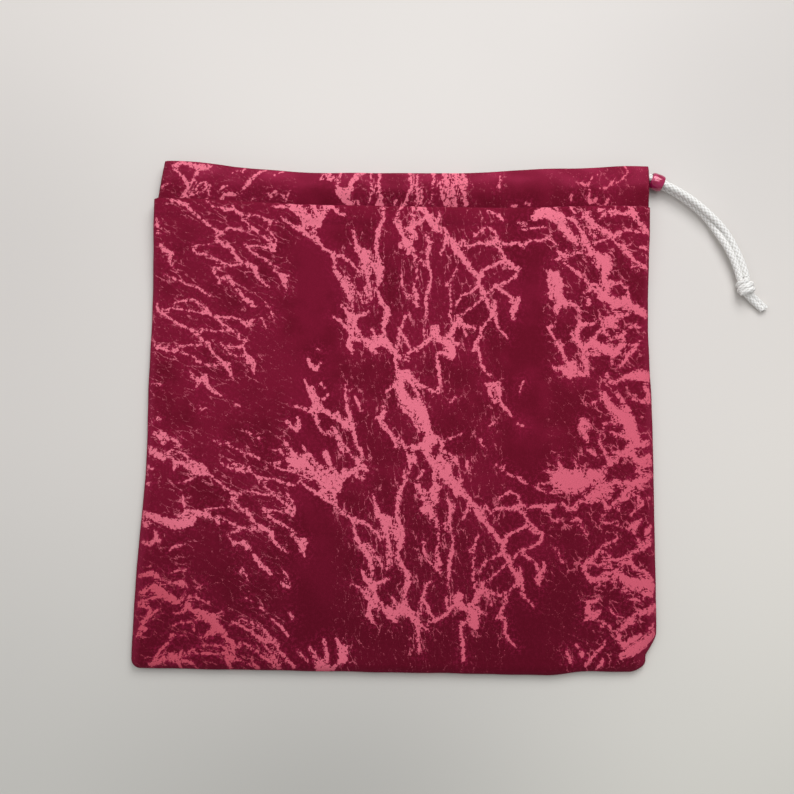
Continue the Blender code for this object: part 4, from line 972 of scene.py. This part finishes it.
def makePrint():
    d = printDetail
    fixed = {"Roughness": 0.95, "Sheen Weight": 0.06, "Sheen Roughness": 0.5,
             "Sheen Tint": (0.9, 0.3, 0.45, 1), "Specular IOR Level": 0.08}
    material, graph, shader = startMaterial("marbledCotton", fixed)
    flat = graph.add("ShaderNodeUVMap", {"uv_map": "clothPlace"})["UV"]
    mm = graph.vector("SCALE", flat, scale=1000.0)
    parts = graph.add("ShaderNodeSeparateXYZ", None, {0: mm})
    x, y = parts[0], parts[1]
    reach = graph.add("ShaderNodeAttribute", {"attribute_name": "veinReach"})["Fac"]
    way = graph.add("ShaderNodeAttribute", {"attribute_name": "veinWay"})["Vector"]
    way = graph.add("ShaderNodeSeparateXYZ", None, {0: way})
    quiet = graph.add("ShaderNodeAttribute", {"attribute_name": "quiet"})["Fac"]
    paintedLight = graph.add("ShaderNodeAttribute", {"attribute_name": "paintedLight"})["Fac"]
    # How deep inside the nearest vein, in millimetres, with its edges bent and ragged
    bend = graph.add("ShaderNodeSeparateXYZ", None, {
        0: graph.noise(mm, 0.33, 3.0, 0.6, flat=True, output=1)})
    gapX = way[0] + (bend[0] - 0.5) * d["bend"]
    gapY = way[1] + (bend[1] - 0.5) * d["bend"]
    gap = (gapX * gapX + gapY * gapY) ** 0.5
    near = reach.step(-1.8, -1.1)
    broad = x.step(-70, -45) * x.step(85, 60)
    inside = way[2] * (1.15 + broad * 0.14) + 0.02 + broad * 0.07 - gap
    depth = near * inside + (1.0 - near) * reach
    ragged = graph.noise(mm, 0.42, 3.0, 0.6, flat=True)
    pitted = graph.noise(mm, 1.3, 3.0, 0.7, flat=True)
    holes = graph.noise(mm, 0.60, 4.0, 0.66, flat=True)
    inVein = depth + (ragged - 0.5) * d["ragged"] + (pitted - 0.5) * d["pitted"]
    inVein = inVein - holes.step(0.57, 0.62) * d["holes"]

    def threads(angle, across, along, width, shift):
        # A net of fine threads, stretched along one direction
        turned = graph.add("ShaderNodeMapping", {"vector_type": "TEXTURE"}, {
            0: mm, "Rotation": (0, 0, math.radians(angle)), "Scale": (along, across, 1),
            "Location": (shift, 0, 0)})[0]
        bend = graph.noise(turned, 1.1, 4.0, 0.6, flat=True, output=1)
        bend = graph.vector("SUBTRACT", bend, (0.5, 0.5, 0.5))
        bend = graph.vector("SCALE", bend, scale=d["threadWarp"])
        settings = {"feature": "DISTANCE_TO_EDGE", "voronoi_dimensions": "2D"}
        edge = graph.add("ShaderNodeTexVoronoi", settings, {
            "Vector": graph.vector("ADD", turned, bend), "Scale": 1.0})["Distance"]
        strength = graph.noise(turned, 0.7, 2.0, 0.5, flat=True).step(0.42, 0.66)
        return strength * width * wooded - edge

    wooded = reach.step(-10.0, -2.5, 0.25, 1.0) * (1.0 - quiet * 0.6)
    left = threads(-27, 3.9, 11.0, 0.075, 3.0) - x.step(-62, -32)
    middle = threads(-80, 3.8, 10.0, 0.085, 11.0) - x.step(-62, -32, 1, 0) - x.step(58, 84)
    right = threads(-50, 4.6, 7.5, 0.105, 23.0) - x.step(58, 84, 1, 0)
    net = left.calc("MAXIMUM", middle).calc("MAXIMUM", right) * d["netStrength"]
    net = net + (ragged - 0.5) * 1.2 + (pitted - 0.5) * 1.6
    # The colours, from the ground up
    grain = graph.noise(mm, 2.6, 4.0, 0.75, flat=True)
    cloudy = graph.noise(mm, 0.035, 3.0, 0.55, flat=True)
    specks = graph.noise(mm, 0.55, 5.0, 0.8, flat=True).step(0.50, 0.60)
    # Cloudy patches are the cloth's own tone; the darkening towards the lower right and towards
    # the bottom is painted shade
    cloudAndPaintedShade = (cloudy + (x - y) * 0.0008).step(0.32, 0.66)
    tone = graph.blend(cloudAndPaintedShade, printColours["ground"], printColours["deep"])
    low = (y * -1.0).step(10.0, 135.0)
    tone = graph.blend(low * 0.75, tone, printColours["lowest"])
    # Painted light: paler where the cloth turns up to the light, on the rolled edges and the
    # casing's upper half
    tone = graph.blend(paintedLight, tone, printColours["paintedLight"])
    halo = inVein.step(-1.2, 0.1, 0.0, 0.40) + specks * depth.step(-8.0, -1.0, 0.08, 0.45)
    tone = graph.blend(halo.calc("MINIMUM", 1.0), tone, printColours["halo"])
    # Painted shade: the veins dim towards the lower right and darken in the lower left corner
    dimming = (x * 0.7 - y * 0.5 + 20.0).step(0.0, 150.0)
    pink = graph.blend(dimming, printColours["vein"], printColours["dimVein"])
    farCorner = (x * -1.0 - y * 1.3).step(190.0, 270.0)
    pink = graph.blend(farCorner, pink, printColours["shadedVein"])
    tone = graph.blend(net.step(-0.1, 0.7, 0.0, 0.8), tone, pink)
    tone = graph.blend(inVein.step(-0.15, 0.25), tone, pink)
    fuzzy = graph.blend(grain.step(0.30, 0.75), printColours["fuzzDark"], printColours["fuzzPale"])
    tone = graph.blend(1.0, tone, fuzzy, "MULTIPLY")
    feed(graph, shader, "Base Color", tone)
    # The weave
    turned = graph.add("ShaderNodeMapping", {"vector_type": "TEXTURE"}, {
        0: mm, "Rotation": (0, 0, math.radians(d["twillTurn"])), "Scale": (1.0, 0.28, 1)})[0]
    twill = graph.noise(turned, 1.3, 2.0, 0.5, flat=True)
    bump = bumpFrom(graph, grain * 0.6 + twill * 0.5, d["relief"], 0.55)
    feed(graph, shader, "Normal", bump)
    return material


marbledCotton = makePrint()


def paintedEdgeLight(middle, rows, columns):
    # Painted light: the cloth is paler on the rolled side and bottom edges, where they turn up to
    # the light
    across = np.clip((np.abs(np.array(columns)) - 0.97) / 0.4, 0, 1)[None, :, None]
    down = np.clip((0.7 - np.array(rows)) / 0.8, 0, 1)[:, None, None]
    return np.maximum(across * np.ones_like(middle[:, :, :1]), down) * 0.35


def makePanel(name, side, grid, node):
    edge = grid["edge"]
    columns = [-c for c in reversed(spread(1, 2, edge)[1:])] + spread(-1, 1, grid["across"])
    columns += spread(1, 2, edge)[1:]
    rows = spread(0, 1, edge)[:-1] + spread(1, 2, grid["up"]) + spread(2, 3, 4)[1:]
    rows += spread(3, 4, edge)[1:]
    middle = np.zeros((len(rows), len(columns), 3))
    flat = np.zeros((len(rows), len(columns), 2))
    for j, v in enumerate(rows):
        for i, u in enumerate(columns):
            point, place = panelPlace(u, v, side)
            if v < 2 and side > 0:
                point.z += clothRelief(point.x, point.y, side)
            elif v < 2:
                point.z += panelDetail["backLift"] + max(0.0, clothRelief(point.x, point.y, side))
            drift = outlineDrift(point.x, point.y)
            middle[j, i] = point + edgeWander(point.x, point.y, u, v) + drift
            flat[j, i] = (place[0] + drift.x, place[1] + drift.y)
    seamRow = rows.index(2)
    last = len(columns) - 1

    def kept(j, i):
        if not (0 <= j < len(rows) - 1 and 0 <= i < last):
            return False
        return j < seamRow or edge <= i < last - edge

    reach, way = veinReach(flat, bodyStrokes if side > 0 else backStrokes)
    values = {"veinReach": reach, "veinWay": way, "quiet": quietness(flat, quietFields),
              "paintedLight": paintedEdgeLight(middle, rows, columns)}
    panel = closedCloth(name, middle, flat, kept, grid["coarse"], side, values, marbledCotton)
    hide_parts(node)
    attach(panel, "pouch")
    return panel


backX, backY = printDetail["backShift"]
backStrokes = [[(backX - x, y + backY, wide) for x, y, wide in stroke] for stroke in bodyStrokes]
frontPanel = makePanel("clothFront", 1, panelGrids["front"], "front_panel")
print("front made:", len(frontPanel.data.polygons), "faces")
backPanel = makePanel("clothBack", -1, panelGrids["back"], "back_panel")
print("back made:", len(backPanel.data.polygons), "faces")


# Casing: one folded strip round the mouth, with the cord inside

# rub is the strength of the light painted on the casing's upper half
casingDetail = {
    "puff": 0.00035, "drag": 0.00030, "topWander": 0.00035, "seed": 6.1, "crown": 0.0011,
    "rub": 0.85, "quiet": 0.9, "frontCells": 270, "bendCells": 24, "backCells": 180,
    "sectionCells": 52, "allowanceCells": 5,
}


def casingProfile(t, thickness):
    # (place, offset): place is 0 at the seam, 1 at the top fold, less than 0 in the allowance
    halfPair = layer / 2
    if abs(t) > 1:
        return 1 - abs(t), math.copysign(halfPair, t)
    angle = math.pi * (1 - abs(t))
    c = (1 - math.cos(angle)) / 2
    fullness = 1.299 * math.sin(angle) * math.sin(angle / 2)  # its greatest value is 1
    offset = halfPair * (1 - c) + ((thickness - cloth) / 2 - halfPair * (1 - c)) * fullness
    return c, math.copysign(offset, t)


def casingLevels(c, x):
    if c < 0:
        return frontHeight(x, seamY(x, 1) + c * pouch["allowance"]) - panelOverPair, backPairZ
    w = ease(c / 0.4)
    return mix(frontPairZ(x), frontChannelZ(x), w), mix(backPairZ, backChannelZ, w)


def casingY(c, x, side):
    if c < 0:
        return seamY(x, side) + c * pouch["allowance"]
    return mix(seamY(x, side), topY(x, side), c)


def bendCentre(c):
    front, back = casingLevels(c, casingLeft)
    t = 1 - math.acos(1 - 2 * max(c, 0.0)) / math.pi
    outer = casingProfile(t, channel)[1] + cloth / 2
    radius = (front - back) / 2
    x = casingLeft + pouch["lean"] * max(c, 0.0) + radius + outer
    return x, (front + back) / 2, radius


def casingPoint(path, c, offset):
    # path runs round the mouth: 0 the front's right end, 1 its left end, 2 the back's left end,
    # 3 its right end
    bendX, bendZ, radius = bendCentre(c)
    if 1 < path < 2:
        turn = math.pi * (path - 1)
        side = 1 if path < 1.5 else -1
        x = bendX - (radius + offset) * math.sin(turn)
        return Vector((x, casingY(c, bendX, side), bendZ + (radius + offset) * math.cos(turn)))
    side = 1 if path <= 1 else -1
    right = casingRight - (pouch["allowanceTrim"] if c < 0 else 0.0)
    x = mix(right, bendX, path if side > 0 else 3 - path)
    front, back = casingLevels(c, x)
    z = front + offset if side > 0 else back - offset
    return Vector((x, casingY(c, x, side), z))


def makeCasing():
    d = casingDetail
    stations = spread(0, 1, d["frontCells"]) + spread(1, 2, d["bendCells"])[1:-1]
    stations += spread(2, 3, d["backCells"])
    section = spread(-2.0, -1.0, d["allowanceCells"])[:-1] + spread(-1, 1, d["sectionCells"])
    section += spread(1.0, 2.0, d["allowanceCells"])[1:]
    points, flat, rub = [], [], []
    for path in stations:
        sideX = mix(casingRight, casingLeft, min(path, 3 - path, 1.0))
        side = 1 if path <= 1.5 else -1
        thickness = channelThickness(sideX, 1 if path <= 1 else -1)
        for t in section:
            c, offset = casingProfile(t, thickness)
            point = casingPoint(path, c, offset)
            full = math.sin(math.pi * min(max(c, 0.0), 1.0))
            if c > 0:
                here = Vector((sideX * 38, c * 1.6, d["seed"] * side + t))
                swell = d["puff"] * noise.noise(here)
                swell += d["drag"] * noise.noise(Vector((sideX * 150 + c * 2.2, c * 1.2, side)))
                if side > 0 or t < 0:
                    point.z += side * math.copysign(full * max(0.0, swell), t) * 0.8
                point.y += d["topWander"] * noise.noise(Vector((sideX * 45, 3.0, side))) * c * c
            if side > 0 and t > 0 and c > 0:
                point.z += d["crown"] * full ** 1.5 * gather(sideX)
            # Painted light: the casing's upper half, curving up to the light, is paler in streaks
            streak = 0.5 + noise.noise(Vector((sideX * 70, c * 3.0, 2.0)))
            rub.append(d["rub"] * ease((c - 0.30) / 0.45) * min(max(streak, 0.35), 1.0) * (t > 0))
            points.append(point)
            down = c * pouch["casingHeight"] if t > 0 else (2 - c) * pouch["casingHeight"]
            bendX, bendZ, radius = bendCentre(c)
            place = mix(casingRight, bendX, min(path, 3 - path, 1.0))
            flat.append((place - math.pi * radius * min(max(path - 1, 0.0), 1.0), down))
    rows = len(section)
    faces = []
    for i in range(len(stations) - 1):
        for j in range(rows - 1):
            a = i * rows + j
            faces.append((a, a + 1, a + rows + 1, a + rows))
    flat = np.array(flat).reshape(len(stations), rows, 2)
    reach, way = veinReach(flat, casingStrokes)
    values = {"veinReach": reach.reshape(-1, 1), "veinWay": way.reshape(-1, 3),
              "quiet": np.full((len(points), 1), d["quiet"]),
              "paintedLight": np.array(rub).reshape(-1, 1), "flat": flat.reshape(-1, 2)}
    casing = clothMesh("foldedCasing", points, faces, values, marbledCotton)
    wall = casing.modifiers.new("cloth", "SOLIDIFY")
    wall.thickness = cloth
    wall.offset = 0.0
    wall.use_even_offset = True
    casing = applied(casing, "foldedCasing")
    bm = bmesh.new()
    bm.from_mesh(casing.data)
    bmesh.ops.recalc_face_normals(bm, faces=bm.faces)
    bm.to_mesh(casing.data)
    bm.free()
    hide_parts("mouth_casing")
    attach(casing, "pouch")
    return casing


casing = makeCasing()
print("casing made:", len(casing.data.polygons), "faces")


# Cord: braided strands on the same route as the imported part

cordDetail = {
    "diameter": 0.0039, "relief": 0.00036, "pitch": 0.0032, "yarns": 5, "sides": 40,
    "step": 0.00025, "halfSpacing": 0.00185,
}
strandSteps = 8
heldDetail = {"diameter": 0.0033, "relief": 0.0001, "sides": 16, "step": 0.0008}


def exitY():
    return mix(seamTopY, mouthTopY, pouch["exitPlace"])


def arcCentre():
    a = math.radians(pouch["exitAngle"])
    radius = pouch["arcRadius"]
    return Vector((casingRight - radius * math.cos(a), exitY() - radius * math.sin(a), cordZ))


def onArc(angle, twist, half, strand):
    a, t = math.radians(angle), math.radians(twist)
    radius = pouch["arcRadius"] + strand * half * math.cos(t)
    up = strand * half * math.sin(t)
    return arcCentre() + Vector((radius * math.cos(a), radius * math.sin(a), up))


half = cordDetail["halfSpacing"]
halfExit = (endFrontChannelZ - backChannelZ) / 2
freeRoute = [
    (pouch["knotAngle"], 0, half), (18, 0, half), (23, 0, half), (28, 4, half), (32, 16, half),
    (36, 38, half), (40, 60, half), (44, 74, half), (49, 80, half), (55, 84, half), (61, 88, half),
    (66, 90, half), (69.2, 90, half), (71.3, 90, mix(half, halfExit, 0.25)),
    (73, 90, mix(half, halfExit, 0.86)),
]
heldShares = [
    0.035, 0.075, 0.13, 0.2, 0.28, 0.36, 0.44, 0.52, 0.6, 0.68, 0.76, 0.84, 0.91, 0.965, 1.0,
]


def heldRoute(side):
    points = []
    for share in heldShares:
        c = mix(pouch["exitPlace"], pouch["cordPlace"], ease(share / 0.3))
        points.append(casingPoint(share if side > 0 else 3 - share, c, 0.0))
    return points


def smoothCurve(points, steps):
    # Catmull-Rom through the points
    points = [Vector(p) for p in points]
    ends = [points[0] * 2 - points[1]] + points + [points[-1] * 2 - points[-2]]
    out = []
    for p0, p1, p2, p3 in zip(ends, ends[1:], ends[2:], ends[3:]):
        for k in range(steps):
            t = k / steps
            out.append(0.5 * (2 * p1 + (p2 - p0) * t + (2 * p0 - 5 * p1 + 4 * p2 - p3) * t * t
                              + (3 * p1 - p0 - 3 * p2 + p3) * t ** 3))
    out.append(points[-1])
    return out


def makeCordMaterial():
    material, graph, shader = startMaterial("whiteCotton", {
        "Roughness": 0.85, "Sheen Weight": 0.3, "Specular IOR Level": 0.25})
    place = graph.add("ShaderNodeTexCoord")["Object"]
    height = graph.add("ShaderNodeAttribute", {"attribute_name": "braidHeight"})["Fac"]
    fibre = graph.noise(place, 2600.0, 4.0, 0.7)
    # Painted shade: the braid's grooves are darker than the yarns' tops
    tone = graph.blend(height.step(0.15, 0.80), (0.60, 0.58, 0.55, 1), (0.96, 0.955, 0.94, 1))
    dimming = graph.blend(fibre.step(0.3, 0.7), (0.93, 0.93, 0.93, 1), (1.03, 1.03, 1.03, 1))
    feed(graph, shader, "Base Color", graph.blend(1.0, tone, dimming, "MULTIPLY"))
    feed(graph, shader, "Normal", bumpFrom(graph, fibre, 0.0003, 0.5))
    return material


whiteCotton = makeCordMaterial()


def braidTree():
    # A braided tube along a curve: two families of yarns cross and pass over each other in turn
    tree = bpy.data.node_groups.new("braidedTube", "GeometryNodeTree")
    face = tree.interface
    face.new_socket("Geometry", in_out="INPUT", socket_type="NodeSocketGeometry")
    for name in ("Diameter", "Step", "Pitch", "Relief"):
        face.new_socket(name, in_out="INPUT", socket_type="NodeSocketFloat")
    for name in ("Sides", "Yarns"):
        face.new_socket(name, in_out="INPUT", socket_type="NodeSocketInt")
    face.new_socket("Material", in_out="INPUT", socket_type="NodeSocketMaterial")
    face.new_socket("Geometry", in_out="OUTPUT", socket_type="NodeSocketGeometry")
    graph = Graph(tree)
    given = graph.add("NodeGroupInput")
    # A plain tube along the curve, with the distance along it and the share round it kept
    evenly = graph.add("GeometryNodeResampleCurve", {"mode": "LENGTH"}, {
        "Curve": given["Geometry"], "Length": given["Step"]})[0]
    distance = graph.add("GeometryNodeSplineParameter")["Length"]
    way = graph.add("GeometryNodeCaptureAttribute", {"capture": [("FLOAT", "along")]}, {
        0: evenly, 1: distance})
    ring = graph.add("GeometryNodeCurvePrimitiveCircle", None, {
        "Resolution": given["Sides"], "Radius": given["Diameter"] * 0.5})[0]
    share = graph.add("GeometryNodeSplineParameter")["Factor"]
    around = graph.add("GeometryNodeCaptureAttribute", {"capture": [("FLOAT", "round")]}, {
        0: ring, 1: share})
    tube = graph.add("GeometryNodeCurveToMesh", None, {
        "Curve": way[0], "Profile Curve": around[0], "Fill Caps": True})[0]
    # The yarns: of the two families, the one on top changes where they cross
    turn = around[1] * given["Yarns"] * math.pi
    shift = way[1] / given["Pitch"] * math.pi
    one = (turn + shift).calc("SINE")
    other = (turn - shift).calc("SINE")
    oneOver = (one * other).calc("GREATER_THAN", 0.0)
    top = abs(one) * oneOver + abs(other) * (1.0 - oneOver)
    under = abs(other) * oneOver + abs(one) * (1.0 - oneOver)
    height = (top ** 0.7) * (0.72 + under * 0.28)
    normal = graph.add("GeometryNodeInputNormal")[0]
    lift = graph.vector("SCALE", normal, scale=(height - 0.75) * given["Relief"])
    shaped = graph.add("GeometryNodeSetPosition", None, {"Geometry": tube, "Offset": lift})[0]
    settings = {"data_type": "FLOAT", "domain": "POINT"}
    stored = graph.add("GeometryNodeStoreNamedAttribute", settings, {
        "Geometry": shaped, "Name": "braidHeight", "Value": height})[0]
    smooth = graph.add("GeometryNodeSetShadeSmooth", None, {0: stored})[0]
    real = graph.add("GeometryNodeRealizeInstances", None, {0: smooth})[0]
    done = graph.add("GeometryNodeSetMaterial", None, {
        "Geometry": real, "Material": given["Material"]})[0]
    graph.add("NodeGroupOutput", None, {"Geometry": done})
    return tree


braidedTube = braidTree()


def setInputs(modifier, values):
    for item in modifier.node_group.interface.items_tree:
        if item.in_out == "INPUT" and item.name in values:
            modifier[item.identifier] = values[item.name]


def polyline(name, points):
    curve = bpy.data.curves.new(name, "CURVE")
    curve.dimensions = "3D"
    spline = curve.splines.new("POLY")
    spline.points.add(len(points) - 1)
    for point, place in zip(spline.points, points):
        point.co = (*place, 1.0)
    return linked(name, curve)


def braid(name, points, changes=None):
    d = {**cordDetail, **(changes or {})}
    obj = polyline(name + "Route", points)
    tube = obj.modifiers.new("braid", "NODES")
    tube.node_group = braidedTube
    setInputs(tube, {"Diameter": d["diameter"], "Step": d["step"], "Pitch": d["pitch"],
                     "Relief": d["relief"], "Sides": d["sides"], "Yarns": d["yarns"],
                     "Material": whiteCotton})
    return applied(obj, name)


def makeHeldCord():
    bend = [casingPoint(1 + k / 6, pouch["cordPlace"], 0.0) for k in range(1, 6)]
    inner = [onArc(*freeRoute[-1], 1)] + heldRoute(1) + bend + heldRoute(-1)[::-1]
    inner += [onArc(*freeRoute[-1], -1)]
    held = braid("cordInCasing", smoothCurve(inner, 6), heldDetail)
    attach(held, "pouch")
    return held


def makeStrand(name, strand):
    # The free run, shaped by the first held point but ending where the casing does
    route = [onArc(*row, strand) for row in freeRoute]
    inside = heldRoute(strand)[0]
    points = smoothCurve(route + [inside], strandSteps)[:-strandSteps]
    piece = braid(name, points)
    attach(piece, "pouch")
    length = sum((b - a).length for a, b in zip(points, points[1:]))
    return piece, points, length


# Knot: one overhand knot in both strands, and two tails

knotDetail = {
    "radius": 0.0032, "pairGap": 0.0031, "past": 0.0056, "level": 0.0050, "turns": 1.2,
    "wrapSteps": 22, "wrapStart": -70, "wrapFrom": 0.0016, "wrapTo": -0.0012, "flattened": 0.95,
    "tips": [(0.2082, 0.0619, 0.0020), (0.2100, 0.0628, 0.0020)], "tipDrop": 0.75,
    "strand": {"diameter": 0.0034, "relief": 0.00026, "sides": 32, "step": 0.0003},
}


def makeKnot():
    d = knotDetail
    a = math.radians(pouch["knotAngle"])
    along = Vector((math.sin(a), -math.cos(a), 0))
    beside = Vector((-math.cos(a), -math.sin(a), 0))
    up = Vector((0, 0, 1))
    centre = onArc(pouch["knotAngle"], 0, 0, 1) + along * d["past"]
    centre.z = d["level"]
    pieces = []
    for k, strand in enumerate((1, -1)):
        start = onArc(pouch["knotAngle"], 0, half, strand)
        points = [start, start + along * 0.0012,
                  centre - along * 0.0022 + beside * (-strand * 0.0011),
                  centre + along * 0.0026 + beside * (-strand * 0.0009) - up * 0.0006]
        wrap = d["wrapSteps"]
        shift = strand * d["pairGap"] / 2
        for i in range(wrap + 1):
            turn = math.radians(d["wrapStart"]) + 2 * math.pi * d["turns"] * i / wrap
            slide = mix(d["wrapFrom"], d["wrapTo"], i / wrap) + shift
            points.append(centre + along * slide + beside * (d["radius"] * math.sin(turn) * -1)
                          + up * (d["radius"] * math.cos(turn) * d["flattened"]))
        points += [centre + along * 0.0005 - up * 0.0004 + beside * (0.0006 * strand),
                   centre + along * 0.0036 - up * 0.0008 + beside * (0.0012 * strand - 0.0008)]
        last, tip = points[-1], Vector(d["tips"][k])
        middle = last.lerp(tip, 0.5)
        middle.z = mix(last.z, tip.z, d["tipDrop"])
        points += [middle, tip]
        pieces.append(braid(f"knotStrand{k}", smoothCurve(points, 5), d["strand"]))
    knot = joined(pieces, "overhandKnot")
    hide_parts("drawstring_knot")
    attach(knot, "pouch")
    return knot


# Stopper bead

beadDetail = {
    "diameter": 0.0096, "length": 0.0076, "bore": 0.0077, "face": 0.0081, "lip": 0.00012,
    "rim": 0.00006, "round": 2.3, "around": 72, "rings": 30, "dark": (0.34, 0.004, 0.055, 1),
    "pale": (0.47, 0.012, 0.11, 1),
}


def makeBeadMaterial():
    material, graph, shader = startMaterial("pearlyCrimson", {
        "Roughness": 0.22, "Coat Weight": 0.8, "Coat Roughness": 0.04, "Metallic": 0.2})
    place = graph.add("ShaderNodeTexCoord")["Object"]
    swirl = graph.noise(place, 320.0, 3.0, 0.6)
    tone = graph.blend(swirl.step(0.35, 0.65), beadDetail["dark"], beadDetail["pale"])
    feed(graph, shader, "Base Color", tone)
    return material


def makeBead():
    d = beadDetail
    long, bore, face, crown = d["length"] / 2, d["bore"] / 2, d["face"] / 2, d["diameter"] / 2
    lip, rim = d["lip"], d["rim"]
    outside = []
    for k in spread(-1, 1, d["rings"]):
        s = math.sin(k * math.pi / 2)
        full = (1 - abs(s) ** d["round"]) ** (1 / d["round"])
        outside.append((mix(face, crown, full), -s * (long - lip)))
    profile = [(mix(bore, face, 0.45), long), (mix(bore, face, 0.8), long - rim)] + outside
    profile += [(mix(bore, face, 0.8), -long + rim), (mix(bore, face, 0.45), -long)]
    profile += [(mix(bore, face, 0.12), -long + rim), (bore, -long + lip)]
    profile += [(bore, long - lip), (mix(bore, face, 0.12), long - rim)]
    a = math.radians(pouch["beadAngle"])
    place = arcCentre() + Vector((math.cos(a), math.sin(a), 0)) * pouch["arcRadius"]
    turned = Matrix.Translation(place) @ Matrix.Rotation(a, 4, "Z")
    turned = turned @ Matrix.Rotation(math.radians(90), 4, "X")
    bm = bmesh.new()
    rings = []
    for k in range(d["around"]):
        w = 2 * math.pi * k / d["around"]
        ring = [turned @ Vector((r * math.cos(w), r * math.sin(w), h)) for r, h in profile]
        rings.append([bm.verts.new(point) for point in ring])
    for k in range(d["around"]):
        one, two = rings[k], rings[(k + 1) % d["around"]]
        for i in range(len(profile)):
            j = (i + 1) % len(profile)
            bm.faces.new((one[i], two[i], two[j], one[j]))
    bmesh.ops.recalc_face_normals(bm, faces=bm.faces)
    mesh = bpy.data.meshes.new("pearlyBead")
    bm.to_mesh(mesh)
    bm.free()
    mesh.shade_smooth()
    mesh.materials.append(makeBeadMaterial())
    bead = linked("pearlyBead", mesh)
    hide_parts("stopper_bead")
    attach(bead, "bead")
    return bead


heldCord = makeHeldCord()
upperStrand, upperPath, upperLength = makeStrand("upperStrand", 1)
lowerStrand, lowerPath, lowerLength = makeStrand("lowerStrand", -1)
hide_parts("drawstring")
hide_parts("drawstring")
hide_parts("drawstring")
knot = makeKnot()
bead = makeBead()
print("cord, knot and bead made")

print("all pieces made")
